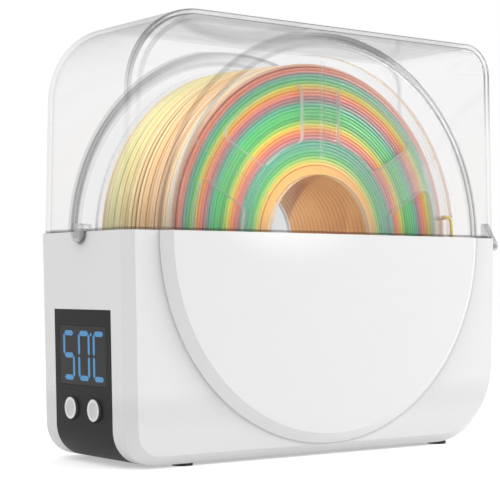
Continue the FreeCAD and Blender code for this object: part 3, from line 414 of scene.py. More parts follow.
@dataclass(frozen=True)
class Moulded(Finish):
    """Moulded plastic or rubber: fine grain, faint cloudy shade, softened edges, painted crevice shade."""

    colour: Colour
    roughness: float
    grain: float = 0.5
    grain_detail: float = 3.0
    grain_depth: float = 0.006
    grain_gloss: float = 0.12
    cloud: float = 0.03
    cloud_size: float = 38.0
    edge: float = 0.0
    gloss: float = 0.5
    crevice_shades: Sequence[PaintedCreviceShade] = ()

    def shader(self, graph: Graph) -> Socket:
        """Shader of moulded plastic.

        Args:
            graph: Node tree of the material.

        Returns:
            The shader.
        """
        clouds = graph.noise(self.cloud_size)
        grains = graph.noise(self.grain, self.grain_detail)
        coloured = graph.blend(clouds, shaded(self.colour, 1 - self.cloud), self.colour)
        # Painted shade: each crevice shade darkens the colour where other surfaces are close.
        for crevice in self.crevice_shades:
            coloured = crevice.darken(graph, self.colour, coloured)
        normal = graph.round_edges(self.edge) if self.edge else None
        return graph.principled(
            Base_Color=coloured,
            Roughness=grains.around(self.roughness, self.grain_gloss),
            Specular_IOR_Level=self.gloss,
            Normal=graph.bump(grains, self.grain_depth, normal),
        )


@dataclass(frozen=True)
class Clear(Finish):
    """Clear moulded wall with painted shade: grey at its marked edges, rim, edge on, most of all slopes."""

    tint: Colour
    # Colour of the painted shade.
    dark: Colour
    rim: float
    rim_height: float = 0.9
    rim_fade: float = 0.5
    rim_strength: float = 0.6
    edge_on: float = 1.1
    edge_power: float = 5.0
    slope: float = 3.4
    slope_power: float = 2.0
    ripple_size: float = 55.0
    roughness: Span = (0.01, 0.02)
    bend: float = 1.0
    coat: float = 0.6
    coat_roughness: float = 0.02

    def shader(self, graph: Graph) -> Socket:
        """Shader of a clear wall, which lets shadow and diffuse rays straight through.

        Args:
            graph: Node tree of the material.

        Returns:
            The shader.
        """
        ripple = graph.noise(self.ripple_size, detail=1.0)
        turned = graph.facing()
        slopes = graph.mark("slope") * turned ** self.slope_power * self.slope
        above_rim = graph.part(Axis.Z) - self.rim
        low = above_rim.step(self.rim_height + self.rim_fade, self.rim_height) * self.rim_strength
        edge_on = turned ** self.edge_power * self.edge_on
        # Painted shade: stands in for the dark lines of refraction at edges and slopes, and the seam's
        # shade at the rim.
        grey = graph.mark("edge").larger(slopes).larger(edge_on).larger(low)
        solid = graph.principled(
            Base_Color=graph.blend(grey, self.tint, self.dark),
            Roughness=ripple.between(*self.roughness),
            Transmission_Weight=1.0,
            IOR=self.bend,
            Coat_Weight=self.coat,
            Coat_Roughness=self.coat_roughness,
        )
        return graph.mix(graph.rays(Ray.SHADOW, Ray.DIFFUSE), solid, graph.film(WHITE))


@dataclass(frozen=True)
class ThinClear(Finish):
    """Thin clear plastic: seen straight through, with a gloss that grows towards edge on.

    It is grey and partly frosted at its marked edges, edge on, and on its side walls, which are
    the parts whose depth from the middle of the object lies between two limits. The grey is
    painted shade, standing in for the dark lines of refraction there.
    """

    tint: Colour
    edge_shade_tint: Colour
    gloss: float
    sides: Sequence[Span] = ()
    edge_frost: float = 0.0
    side_fade: float = 0.1
    edge_on: Span = (0.5, 1.0)
    ripple_size: float = 30.0
    roughness: Span = (0.05, 0.11)
    bend: float = 1.45
    frost: Colour = (0.95, 0.95, 0.95)
    frost_roughness: float = 0.6

    def shader(self, graph: Graph) -> Socket:
        """Shader of thin clear plastic.

        Args:
            graph: Node tree of the material.

        Returns:
            The shader.
        """
        ripple = graph.noise(self.ripple_size, detail=1.0)
        flat = graph.flat_normal()
        # Painted shade: where the grey film shows.
        grey = graph.facing(flat).step(*self.edge_on).larger(graph.mark("edge"))
        off_middle = abs(graph.part(Axis.Y))
        for start, end in self.sides:
            begun = off_middle.step(start, start + self.side_fade)
            grey = grey.larger(begun * off_middle.step(end, end - self.side_fade))
        face = graph.principled(
            Base_Color=WHITE, Metallic=1.0, Roughness=ripple.between(*self.roughness), Normal=flat
        )
        frost = graph.principled(Base_Color=self.frost, Roughness=self.frost_roughness)
        edges = graph.mix(self.edge_frost, graph.film(self.edge_shade_tint), frost)
        through_it = graph.mix(grey, graph.film(self.tint), edges)
        shine = graph.get("ShaderNodeFresnel", 0, inputs={"IOR": self.bend, "Normal": flat}) * self.gloss
        return graph.mix(graph.rays(Ray.SHADOW), graph.mix(shine, through_it, face), graph.film(self.tint))


@dataclass(frozen=True)
class HubWall(Finish):
    """Clear hub with strands close behind it: their colour, painted shade between them, a smooth gloss."""

    strand_colour: Colour
    gap_shade_colour: Colour
    end_colour: Colour
    spacing: float
    bore: float
    end_fade: float = 0.3
    cloud_size: float = 14.0
    cloud_span: Span = (0.25, 0.6)
    gap_span: Span = (0.75, 1.0)
    sway: float = 0.8
    roughness: Span = (0.3, 0.4)
    coat: Span = (0.2, 0.4)

    def shader(self, graph: Graph) -> Socket:
        """Shader of the hub: lines along the strands, faded by clouds, and one colour at its ends.

        Args:
            graph: Node tree of the material.

        Returns:
            The shader.
        """
        clouds = graph.noise(self.cloud_size)
        across = graph.part(Axis.Y) + clouds.around(0.0, self.sway)
        strands = (across * (TURN / self.spacing)).wave()
        far = graph.part(Axis.X).away(graph.part(Axis.Z) - SPOOL_AXIS)
        at_end = far.step(self.bore, self.bore + self.end_fade)
        seen = clouds.step(*self.cloud_span) * strands.step(*self.gap_span)
        # Painted shade: the gap colour darkens the lines between strands.
        wall = graph.blend(seen, self.strand_colour, self.gap_shade_colour)
        return graph.principled(
            Base_Color=graph.blend(at_end, wall, self.end_colour),
            Roughness=clouds.between(*self.roughness),
            Coat_Weight=clouds.between(*self.coat),
        )


@dataclass(frozen=True)
class Metal(Finish):
    """Drawn or rolled metal with fine streaks along one axis."""

    colour: Colour
    roughness: float
    streak: Stretch = (1, 0.05, 1)
    streak_size: float = 0.35
    streak_shade: float = 0.82
    streak_gloss: float = 0.15
    streak_depth: float = 0.004

    def shader(self, graph: Graph) -> Socket:
        """Shader of streaked metal.

        Args:
            graph: Node tree of the material.

        Returns:
            The shader.
        """
        streaks = graph.noise(self.streak_size, stretch=self.streak)
        return graph.principled(
            Base_Color=graph.blend(streaks, shaded(self.colour, self.streak_shade), self.colour),
            Roughness=streaks.around(self.roughness, self.streak_gloss),
            Metallic=1.0,
            Normal=graph.bump(streaks, self.streak_depth),
        )


@dataclass(frozen=True)
class Tracks(Finish):
    """Sheet with lines that wind to and fro, as on a board or a heating film."""

    sheet: Colour
    line: Colour
    pitch: float
    roughness: float
    sway_size: float = 9.0
    bend_pitches: float = 5.0
    row_span: Span = (0.45, 0.6)
    bend_span: Span = (0.05, 0.2)
    line_gloss: float = 0.1
    line_depth: float = 0.03

    def shader(self, graph: Graph) -> Socket:
        """Shader of lined sheet: rows of lines that sway, broken where they bend.

        Args:
            graph: Node tree of the material.

        Returns:
            The shader.
        """
        across = graph.part(Axis.X) + graph.noise(self.sway_size).around(0.0, self.pitch)
        along = graph.part(Axis.Y) + graph.part(Axis.Z)
        rows = (across * (TURN / self.pitch)).wave()
        bends = (along * (TURN / self.pitch / self.bend_pitches)).wave()
        lines = rows.step(*self.row_span) * bends.step(*self.bend_span)
        return graph.principled(
            Base_Color=graph.blend(lines, self.sheet, self.line),
            Roughness=lines.between(self.roughness, self.roughness - self.line_gloss),
            Normal=graph.bump(lines, self.line_depth),
        )


@dataclass(frozen=True)
class PushButton(Finish):
    """Button with a pale rim and a grey dished face; its spans are shares of the radius."""

    rim: Colour
    face: Colour
    outline: Colour
    height: float
    centre: float
    radius: float
    rim_span: Span = (0.70, 0.76)
    dish_span: Span = (0.0, 0.74)
    outline_span: Span = (0.955, 0.985)
    dish_depth: float = 0.7
    grain: float = 0.3
    roughness: Span = (0.3, 0.4)

    def shader(self, graph: Graph) -> Socket:
        """Shader of a button, by the distance from its centre.

        Args:
            graph: Node tree of the material.

        Returns:
            The shader.
        """
        across = graph.part(Axis.Y) - self.centre
        far = across.away(graph.part(Axis.Z) - self.height) / self.radius
        faced = graph.blend(far.step(*self.rim_span), self.face, self.rim)
        return graph.principled(
            Base_Color=graph.blend(far.step(*self.outline_span), faced, self.outline),
            Roughness=graph.noise(self.grain).between(*self.roughness),
            Normal=graph.bump(far.step(*self.dish_span), self.dish_depth),
        )


@dataclass(frozen=True)
class WoundColours(Finish):
    """Silky filament whose colour changes along its length; its strands differ in shade, partly painted."""

    stops: Sequence[tuple[float, Colour]]
    pale: Colour
    gap_shade: Colour = (0.46, 0.38, 0.24)
    roughness: float = 0.3
    streak_size: float = 1.6
    streak_detail: float = 3.0
    streak_gloss: float = 0.16
    coat: float = 0.2

    def shader(self, graph: Graph) -> Socket:
        """Shader of wound filament, by the marks of its mesh.

        Args:
            graph: Node tree of the material.

        Returns:
            The shader.
        """
        plain = graph.get("ShaderNodeValToRGB", 0, {"stops": self.stops}, {0: graph.mark("phase")})
        # Painted highlight in part: the blend towards the pale colour; painted shade in part: the tone,
        # darkest in the gaps.
        coloured = graph.blend(graph.mark("pale"), plain, self.pale)
        tone = graph.blend(graph.mark("shade"), self.gap_shade, WHITE)
        streaks = graph.noise(self.streak_size, self.streak_detail)
        return graph.principled(
            Base_Color=graph.times(coloured, tone),
            Roughness=streaks.around(self.roughness, self.streak_gloss),
            Coat_Weight=self.coat,
        )


@dataclass(frozen=True)
class Glow(Finish):
    """Lit mark of a display, a little uneven over its strokes."""

    colour: Colour
    strength: float
    cell_size: float = 6.0
    cell_shade: float = 0.85
    unlit: Colour = (0.01, 0.02, 0.03)
    roughness: float = 0.25

    def shader(self, graph: Graph) -> Socket:
        """Shader of a lit mark.

        Args:
            graph: Node tree of the material.

        Returns:
            The shader.
        """
        cells = graph.noise(self.cell_size, detail=1.0)
        return graph.principled(
            Base_Color=self.unlit,
            Roughness=self.roughness,
            Emission_Color=graph.blend(cells, shaded(self.colour, self.cell_shade), self.colour),
            Emission_Strength=self.strength,
        )


@dataclass(frozen=True)
class PaleFloor(Finish):
    """Pale floor that looks white to the camera and throws less light back at the object."""

    colour: Colour
    glow: float
    roughness: float = 0.9

    def shader(self, graph: Graph) -> Socket:
        """Shader of the floor, which glows only on the rays that show the background.

        Args:
            graph: Node tree of the material.

        Returns:
            The shader.
        """
        matt = {"Base_Color": self.colour, "Roughness": self.roughness, "Specular_IOR_Level": 0.0}
        bright = graph.principled(**matt, Emission_Color=WHITE, Emission_Strength=self.glow)
        return graph.mix(graph.rays(*BACKGROUND_RAYS), graph.principled(**matt), bright)


# Surfaces


@dataclass
class Patch:
    """A grid of points, rows by columns by three, in millimetres."""

    points: np.ndarray
    wrap_rows: bool = False
    wrap_columns: bool = False

    def quads(self, first: int) -> np.ndarray:
        """Corner numbers of the grid's four-sided faces.

        Args:
            first: Number of the grid's first point.

        Returns:
            Four point numbers for each face.
        """
        rows, columns = self.points.shape[:2]
        number = first + np.arange(rows * columns).reshape(rows, columns)
        if self.wrap_rows:
            number = np.vstack([number, number[:1]])
        if self.wrap_columns:
            number = np.hstack([number, number[:, :1]])
        corners = (number[:-1, :-1], number[1:, :-1], number[1:, 1:], number[:-1, 1:])
        return np.stack(corners, axis=-1).reshape(-1, 4)


def put_in_scene(name: str, data: bpy.types.ID) -> bpy.types.Object:
    """Makes an object and puts it in the scene.

    Args:
        name: Its name.
        data: Its mesh, light or camera.

    Returns:
        The object.
    """
    made_object = bpy.data.objects.new(name, data)
    bpy.context.scene.collection.objects.link(made_object)
    return made_object


@dataclass
class Piece:
    """A mesh made of patches, which rides on a body."""

    name: str
    patches: Sequence[Patch]
    body: Body
    slot: Slot
    replaces: Sequence[str] = ()
    crease: float = 40.0
    marks: dict[str, np.ndarray] = field(default_factory=dict)

    def mesh(self) -> bpy.types.Mesh:
        """Mesh of the patches: its points welded, its faces outward, smooth up to the crease angle.

        Returns:
            The mesh.
        """
        points = np.vstack([patch.points.reshape(-1, 3) for patch in self.patches]) * MM
        firsts = np.cumsum([0] + [patch.points[..., 0].size for patch in self.patches])
        quads = np.vstack([patch.quads(first) for patch, first in zip(self.patches, firsts)])
        mesh = bpy.data.meshes.new(self.name)
        mesh.from_pydata(points.tolist(), [], quads.tolist())
        for mark, amounts in self.marks.items():
            layer = mesh.attributes.new(mark, "FLOAT", "POINT")
            layer.data.foreach_set("value", amounts.astype(np.float32).ravel())
        made = bmesh.new()
        made.from_mesh(mesh)
        bmesh.ops.remove_doubles(made, verts=made.verts, dist=WELD * MM)
        bmesh.ops.recalc_face_normals(made, faces=made.faces)
        made.to_mesh(mesh)
        made.free()
        mesh.polygons.foreach_set("use_smooth", np.ones(len(mesh.polygons), dtype=bool))
        mesh.set_sharp_from_angle(angle=math.radians(self.crease))
        return mesh

    def build(self, material: bpy.types.Material) -> None:
        """Makes the object and tells the frame its body and what it replaces.

        Args:
            material: Its finish.
        """
        mesh = self.mesh()
        mesh.materials.append(material)
        made_object = put_in_scene(self.name, mesh)
        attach(made_object, self.body.value)
        if self.replaces:
            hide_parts(*self.replaces)
        log.info("%s: %d faces", self.name, len(mesh.polygons))


# Rounded corners: rows in each, and how far along a side the round and the flat row beside it go

ROUND_ROWS = 5
ROUND_SHARE = 0.3
FLAT_REACH = 1.6
FLAT_SHARE = 0.45
LEAST_SIDE = 1e-6


def soften(rows: Sequence[np.ndarray], reach: float) -> tuple[np.ndarray, np.ndarray]:
    """Rows of a surface with each corner row rounded, and which corner each new row belongs to.

    Each inner row is a corner between its two neighbours. It becomes a quadratic curve from
    one side of the corner to the other, with a row close by on each side that keeps the flat
    parts flat.

    Args:
        rows: Corner rows, each columns by three.
        reach: How far from a corner its round starts.

    Returns:
        Rows by columns by three, and for each row the number of its corner, or 0 on a flat part.
    """
    done = [rows[0]]
    corners = [0]
    share = np.linspace(0, 1, ROUND_ROWS)[:, None, None]
    for number, (before, corner, after) in enumerate(zip(rows, rows[1:], rows[2:]), start=1):
        ends = []
        for side in (before - corner, after - corner):
            length = np.maximum(np.linalg.norm(side, axis=1, keepdims=True), LEAST_SIDE)
            near = corner + side / length * np.minimum(reach, length * ROUND_SHARE)
            flat = corner + side / length * np.minimum(reach * FLAT_REACH, length * FLAT_SHARE)
            ends.append((near, flat))
        (start, flat_before), (end, flat_after) = ends
        curve = (1 - share) ** 2 * start + 2 * share * (1 - share) * corner + share ** 2 * end
        done.extend([flat_before, *curve, flat_after])
        corners.extend([0, *[number] * len(curve), 0])
    done.append(rows[-1])
    corners.append(0)
    return np.stack(done), np.array(corners)


def hull(circles: Sequence[Circle], steps: int) -> np.ndarray:
    """Outline of the band drawn tight round some circles.

    For every direction the point is on the circle that reaches furthest that way.

    Args:
        circles: Across, up and radius of each circle.
        steps: Points of the outline.

    Returns:
        Points by two.
    """
    angle = np.linspace(0, TURN, steps, endpoint=False)
    way = np.column_stack([np.cos(angle), np.sin(angle)])
    discs = np.asarray(circles, float)
    furthest = np.argmax(way @ discs[:, :2].T + discs[:, 2], axis=1)
    return discs[furthest, :2] + way * discs[furthest, 2:]


def pushed(outline: np.ndarray, start: float, end: float, axis: Axis, edge: float = 0.0) -> Patch:
    """Closed block between two copies of an outline, with small bevels round both ends.

    Args:
        outline: Points by two, across the two axes that it isn't pushed along.
        start: Place of one end.
        end: Place of the other.
        axis: Direction it is pushed along.
        edge: Bevel round the ends.

    Returns:
        The surface.
    """
    middle = outline.mean(axis=0)
    out = outline - middle
    inner = middle + out * (1 - edge / np.abs(out).max())
    centre = np.broadcast_to(middle, outline.shape)
    levels = (
        (centre, start), (inner, start), (outline, start + edge),
        (outline, end - edge), (inner, end), (centre, end),
    )
    rows = [np.insert(flat, axis.value, place, axis=1) for flat, place in levels]
    return Patch(np.stack(rows), wrap_columns=True)


def round_spool(radius: Numbers, depth: Numbers, angle: Numbers) -> np.ndarray:
    """Points on circles round the spool's axis.

    Args:
        radius: Radius of each point's circle.
        depth: Depth of each point along the axis.
        angle: Angle of each point, from the right end upwards.

    Returns:
        Points by three, in the shape that the given numbers make together.
    """
    across = radius * np.cos(angle)
    up = SPOOL_AXIS + radius * np.sin(angle)
    return np.stack(np.broadcast_arrays(across, depth, up), axis=-1)


def tube(path: np.ndarray, radius: float, around: int) -> Patch:
    """Round tube along a path, closed at both ends.

    Each ring stands square to the path. Its first direction points away from the spool's axis,
    so the rings don't twist.

    Args:
        path: Points by three.
        radius: Tube radius.
        around: Points in each ring.

    Returns:
        The surface.
    """
    along = np.gradient(path, axis=0)
    along /= np.linalg.norm(along, axis=1, keepdims=True)
    away = (path - (0, 0, SPOOL_AXIS)) * (1, 0, 1)
    away -= along * np.sum(away * along, axis=1, keepdims=True)
    away /= np.linalg.norm(away, axis=1, keepdims=True)
    side = np.cross(along, away)
    angle = np.linspace(0, TURN, around, endpoint=False)[None, :, None]
    rings = path[:, None] + radius * (np.cos(angle) * away[:, None] + np.sin(angle) * side[:, None])
    caps = [np.broadcast_to(path[index], (1, around, 3)) for index in (0, -1)]
    return Patch(np.concatenate([caps[0], rings, caps[1]]), wrap_columns=True)


def through(knots: np.ndarray, samples: int) -> np.ndarray:
    """Smooth curve through some points: cubics, whose slopes come from the points beside each one.

    Args:
        knots: Points by three.
        samples: Points for each stretch.

    Returns:
        Points by three.
    """
    slopes = np.gradient(knots, axis=0)
    share = np.linspace(0, 1, samples, endpoint=False)[None, :, None]
    start, end = knots[:-1, None], knots[1:, None]
    leave, arrive = slopes[:-1, None], slopes[1:, None]
    curve = (
        start * (2 * share ** 3 - 3 * share ** 2 + 1) + leave * (share ** 3 - 2 * share ** 2 + share)
        + end * (3 * share ** 2 - 2 * share ** 3) + arrive * (share ** 3 - share ** 2)
    )
    return np.vstack([curve.reshape(-1, 3), knots[-1:]])


def dress(nodes: Sequence[str], finish: Finish) -> None:
    """Gives one finish to CAD nodes.

    Args:
        nodes: Names of the nodes.
        finish: Their finish.
    """
    material = finish.material()
    for name in nodes:
        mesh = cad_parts[name].data
        mesh.materials.clear()
        mesh.materials.append(material)
    log.info("%s: %s", material.name, ", ".join(nodes))


# Sub-assemblies


@dataclass
class LowerHousing:
    """White tub with its disc covers, feet, rim gasket and outlet."""

    white: Colour = from_srgb(240, 240, 240)
    edge: float = 0.5
    cloud: float = 0.012
    # Painted shade: a broad soft one round the raised discs and a dark line in tight gaps, both fading out
    # near the floor.
    crevice_shades: Sequence[PaintedCreviceShade] = (
        PaintedCreviceShade(reach=40.0, power=4.5, shade=0.5, floor_span=(15.0, 55.0), floor_share=0.9),
        PaintedCreviceShade(reach=2.2, power=5.0, shade=0.12, floor_span=(3.0, 8.0)),
    )

    def dress(self) -> None:
        """Finishes of the CAD nodes."""
        soft = {"edge": self.edge, "cloud": self.cloud}
        shell = Moulded("housing_white", self.white, roughness=0.36, crevice_shades=self.crevice_shades, **soft)
        covers = Moulded("cover_white", self.white, roughness=0.34, grain_depth=0.003, **soft)
        dress(["lower_housing"], shell)
        dress(["front_disc_cover", "rear_disc_cover"], covers)
        dress(["rim_gasket"], Moulded("gasket_rubber", from_srgb(70, 70, 72), roughness=0.7))
        feet = Moulded("foot_rubber", from_srgb(48, 48, 50), roughness=0.8, grain_depth=0.02)
        dress(["rubber_feet"], feet)
        dress(["outlet_grommet"], Moulded("grommet_rubber", from_srgb(60, 60, 62), roughness=0.65))


@dataclass
class ClearLid:
    """Clear lid: half discs front and rear, chamfered outline, hinge ears and latch tongue.

    Its corners are numbered from front to rear: 1 and 2 are the front disc's top and foot, 3 and
    4 the front chamfer's two edges, 5 and 6 the rear chamfer's, 7 and 8 the rear disc's foot and
    top. line_strength has one number for the flat parts and then one for each corner. The lines,
    the rim and the slope bands are grey as painted shade.
    """

    rim: float = 120.4
    half_width: float = 129.7
    draft: float = 2.6
    large_corner: float = 45.0
    small_corner: float = 18.0
    chamfer: float = 5.0
    half_depth: float = 44.0
    wall: float = 2.2
    disc_radius: float = 111.4
    disc_top_radius: float = 105.6
    disc_rise: float = 4.5
    disc_inset: float = 1.1
    edge_round: float = 1.1
    crease: float = 28.0
    columns: int = 181
    arc_steps: int = 25
    angle_digits: int = 6
    fitting_corner: float = 1.0
    fitting_steps: int = 64
    hinge_x: float = 133.95
    hinge_z: float = 115.8
    hinge_eye: float = 2.6
    ear_rise: float = 8.8
    ear_gap: float = 0.2
    ear_width: float = 5.0
    ear_inset: float = 6.0
    ear_bevel: float = 0.3
    tongue_width: float = 10.0
    tongue_thickness: float = 2.0
    tongue_gap: float = 0.7
    tongue_rise: float = 3.6
    tongue_drop: float = 5.8
    tongue_bevel: float = 0.4
    root_steps: int = 48
    housing_end: float = 131.0
    # Painted shade: grey lines along corners and rim, their fade downwards, and the slope bands.
    line_strength: Sequence[float] = (0.0, 0.3, 0.36, 0.3, 1.0, 0.3, 0.0, 0.5, 0.3)
    rim_strength: float = 0.6
    fading_corners: Sequence[int] = (3, 4, 5)
    fade_start: float = 0.45
    fade_reach: float = 0.4
    fade_least: float = 0.12
    slope_start: float = 0.1
    slope_reach: float = 2.5
    tint: Colour = (0.955, 0.956, 0.958)
    # Painted shade: dark is the shell's grey, fitting_edge the fittings' edge grey.
    dark: Colour = (0.13, 0.13, 0.135)
    fitting_edge: Colour = (0.78, 0.78, 0.79)
    fitting_gloss: float = 0.4
    height: float = field(init=False)
    lean: float = field(init=False)
    angles: np.ndarray = field(init=False)

    def __post_init__(self) -> None:
        """Works out the height, the lean of the ends and the directions of the columns.

        The columns are even directions from the middle of the rim, and one through each point of
        the outline.
        """
        self.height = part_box("clear_lid")[1].z / MM - self.rim
        self.lean = math.hypot(self.draft, self.height) / self.height
        edge = self.outline(0.0)
        turns = np.clip(np.arctan2(edge[:, 1], edge[:, 0]), 0, math.pi)
        even = np.linspace(0, math.pi, self.columns)
        self.angles = np.unique(np.round(np.concatenate([even, turns]), self.angle_digits))

    def outline(self, inset: float) -> np.ndarray:
        """Outline above the rim, from the right end over the top to the left end.

        Each end is a line that leans in, the top is level, and an arc of the corner radius
        less the inset joins them.

        Args:
            inset: How far inside the outer outline.

        Returns:
            Points by two.
        """
        sides = []
        for sign, corner in ((1, self.small_corner), (-1, self.large_corner)):
            radius = corner - inset
            foot = self.half_width - inset * self.lean
            middle_z = self.height - inset - radius
            middle_x = foot - radius * self.lean - middle_z * self.draft / self.height
            angle = np.linspace(math.atan2(self.draft, self.height), math.pi / 2, self.arc_steps)
            arc = np.column_stack([middle_x + radius * np.cos(angle), middle_z + radius * np.sin(angle)])
            sides.append(np.vstack([(foot, 0.0), arc]) * (sign, 1))
        return np.vstack([sides[0], sides[1][::-1]])

    def edge_row(self, inset: float, depth: float) -> np.ndarray:
        """Row of points where each column's direction meets the outline.

        Args:
            inset: How far inside the outer outline.
            depth: Depth of the row.

        Returns:
            Points by three.
        """
        edge = self.outline(inset)
        at = np.arctan2(edge[:, 1], edge[:, 0])
        across = np.interp(self.angles, at, edge[:, 0])
        up = np.interp(self.angles, at, edge[:, 1])
        return np.column_stack([across, np.full_like(across, depth), self.rim + up])

    def circle_row(self, radius: float, depth: float) -> np.ndarray:
        """Row of points where each column's direction meets a circle round the spool's axis.

        Args:
            radius: Radius of the circle.
            depth: Depth of the row.

        Returns:
            Points by three.
        """
        drop = self.rim - SPOOL_AXIS
        reach = -drop * np.sin(self.angles) + np.sqrt(radius ** 2 - (drop * np.cos(self.angles)) ** 2)
        across = reach * np.cos(self.angles)
        up = self.rim + reach * np.sin(self.angles)
        return np.column_stack([across, np.full_like(across, depth), up])

    def skin(self, wall: float) -> tuple[np.ndarray, np.ndarray]:
        """One side of the shell: half disc, its slope, flat face, chamfer, then the same at the rear.

        The chamfer's edges turn by 45 degrees, so the inner side's lie further in by the wall times
        the tangent of half that.

        Args:
            wall: How far inside the outer side.

        Returns:
            Rows by columns by three, and the corner number of each row.
        """
        inset = self.disc_inset * wall / self.wall
        turn = wall * math.tan(math.pi / 8)
        face = self.half_depth - wall
        disc_face = face + self.disc_rise
        front = [
            np.broadcast_to((0.0, -disc_face, self.rim), (len(self.angles), 3)),
            self.circle_row(self.disc_top_radius - inset, -disc_face),
            self.circle_row(self.disc_radius - inset, -face),
            self.edge_row(self.chamfer + turn, -face),
            self.edge_row(wall, -(self.half_depth - self.chamfer - turn)),
        ]
        rear = [row * (1, -1, 1) for row in front[::-1]]
        return soften(front + rear, self.edge_round)

    def marks(self, points: np.ndarray, corner: np.ndarray, wall: float) -> dict[str, np.ndarray]:
        """How strong the painted shade of the edges and discs' slopes is at each point of one side.

        An edge shows by its corner's strength, and some corners' edges fade downwards. A slope
        shows where it starts from the flat face, and fades towards the disc's face.

        Args:
            points: Rows by columns by three.
            corner: Corner number of each row.
            wall: How far this side is inside the outer side.

        Returns:
            Amount of each mark at each point.
        """
        height = (points[..., 2] - self.rim) / self.height
        lift = np.clip((height - self.fade_start) / self.fade_reach, self.fade_least, 1.0)
        fades = np.isin(corner, self.fading_corners)[:, None]
        edge = np.array(self.line_strength)[corner][:, None] * np.where(fades, lift, 1.0)
        rise = np.abs(points[..., 1]) - (self.half_depth - wall)
        slope = np.clip((self.disc_rise - rise) / self.slope_reach, 0.0, 1.0) * (rise > self.slope_start)
        return {"edge": edge, "slope": slope}

    def ears(self) -> list[Patch]:
        """Two hinge ears, each a band round the hinge eye and the foot of the end wall.

        Returns:
            The front ear and the rear one.
        """
        root = self.half_width - self.wall
        corner = self.fitting_corner
        circles = (
            (self.hinge_x, self.hinge_z, self.hinge_eye),
            (root, self.rim + self.ear_rise - corner, corner),
            (root, self.rim + self.ear_gap + corner, corner),
        )
        shape = hull(circles, self.fitting_steps)
        outer = self.half_depth - self.ear_inset
        inner = outer - self.ear_width
        spans = ((-outer, -inner), (inner, outer))
        return [pushed(shape, *span, Axis.Y, self.ear_bevel) for span in spans]

    def tongue(self) -> list[Patch]:
        """Latch tongue that hangs from the left end over the housing, and its root.

        Returns:
            The tongue and its root.
        """
        corner = self.fitting_corner
        half = self.tongue_width / 2
        sides = (corner - half, half - corner)
        shoulders = [(side, self.rim + self.tongue_rise - corner, corner) for side in sides]
        feet = [(side, self.rim + corner, corner) for side in sides]
        tip = (0.0, self.rim - self.tongue_drop + half, half)
        plate = hull([*shoulders, tip], self.fitting_steps)
        root = hull([*shoulders, *feet], self.root_steps)
        inside = -(self.housing_end + self.tongue_gap)
        return [
            pushed(plate, inside - self.tongue_thickness, inside, Axis.X, self.tongue_bevel),
            pushed(root, inside, self.wall - self.half_width, Axis.X),
        ]

    @staticmethod
    def outline_marks(patch: Patch) -> np.ndarray:
        """Edge mark, for painted shade, of a pushed block: full round its outline and none on its two
        faces.

        Args:
            patch: The block.

        Returns:
            Amount at each point.
        """
        rows, columns = patch.points.shape[:2]
        along = np.clip(np.minimum(np.arange(rows), np.arange(rows)[::-1]) - 1, 0, 1)
        return np.repeat(along.astype(float), columns)

    def build(self) -> None:
        """Clear shell, and its ears and tongue."""
        outer, corner = self.skin(0.0)
        inner, _ = self.skin(self.wall)
        strips = [np.stack([outer[:, end], inner[:, end]]) for end in (0, -1)]
        sides = [self.marks(points, corner, wall) for points, wall in ((outer, 0.0), (inner, self.wall))]
        # Painted shade: the rim strips carry a grey edge line.
        on_rim = {"edge": self.rim_strength, "slope": 0.0}
        marks = {
            name: np.concatenate([*(side[name].ravel() for side in sides), np.full(4 * len(outer), amount)])
            for name, amount in on_rim.items()
        }
        Piece(
            "lid_shell", [Patch(grid) for grid in (outer, inner, *strips)], Body.LID, Slot.CLEAR,
            ["clear_lid"], self.crease, marks,
        ).build(Clear("lid_clear", self.tint, self.dark, self.rim).material())
        fittings = ThinClear("lid_fittings_clear", self.tint, self.fitting_edge, self.fitting_gloss)
        material = fittings.material()
        for name, patches in (("lid_hinge_ears", self.ears()), ("lid_latch_tongue", self.tongue())):
            edge = np.concatenate([self.outline_marks(patch) for patch in patches])
            Piece(name, patches, Body.LID, Slot.CLEAR, marks={"edge": edge}).build(material)


@dataclass
class Spool:
    """Clear spool that carries the filament."""

    tint: Colour = (0.985, 0.985, 0.985)
    # Painted shade: grey of the flanges' edges and side walls, standing in for refraction.
    edge_shade_tint: Colour = (0.62, 0.62, 0.63)
    flange_gloss: float = 0.5
    edge_frost: float = 0.5
    sides: Sequence[Span] = ((34.05, 36.95), (37.05, 37.65))
    bore: float = 35.0
    hub_wall: float = 5.0
    hub_reach: float = 33.9
    hub_edge: float = 0.4
    hub_columns: int = 128
    hub_strand: Colour = from_srgb(255, 206, 136)
    # Painted shade: colour of the gaps between strands seen through the hub.
    hub_gap_shade: Colour = from_srgb(228, 152, 76)
    hub_end: Colour = from_srgb(238, 178, 82)
    strand_spacing: float = 3.5

    def hub(self) -> Piece:
        """Hub tube: a rectangle with bevelled inner corners, turned round the spool's axis.

        Returns:
            The piece.
        """
        outside = self.bore + self.hub_wall
        bevelled = self.bore + self.hub_edge
        reach = self.hub_reach
        front = np.array([(self.bore, self.hub_edge - reach), (bevelled, -reach), (outside, -reach)])
        profile = np.vstack([front, front[::-1] * (1, -1)])
        angle = np.linspace(0, TURN, self.hub_columns, endpoint=False)
        patch = Patch(round_spool(profile[:, :1], profile[:, 1:], angle), wrap_rows=True, wrap_columns=True)
        return Piece("spool_hub_wall", [patch], Body.SPOOL, Slot.CLEAR, ["spool_hub"])

    def build(self) -> None:
        """Hub with the strands showing through it."""
        self.hub().build(HubWall(
            "hub_clear", self.hub_strand, self.hub_gap_shade, self.hub_end, self.strand_spacing, self.bore,
        ).material())

    def dress(self) -> None:
        """Finishes of the CAD nodes."""
        flanges = ThinClear(
            "flange_clear", self.tint, self.edge_shade_tint, self.flange_gloss, self.sides, self.edge_frost,
        )
        dress(["spool_flange_front", "spool_flange_rear"], flanges)


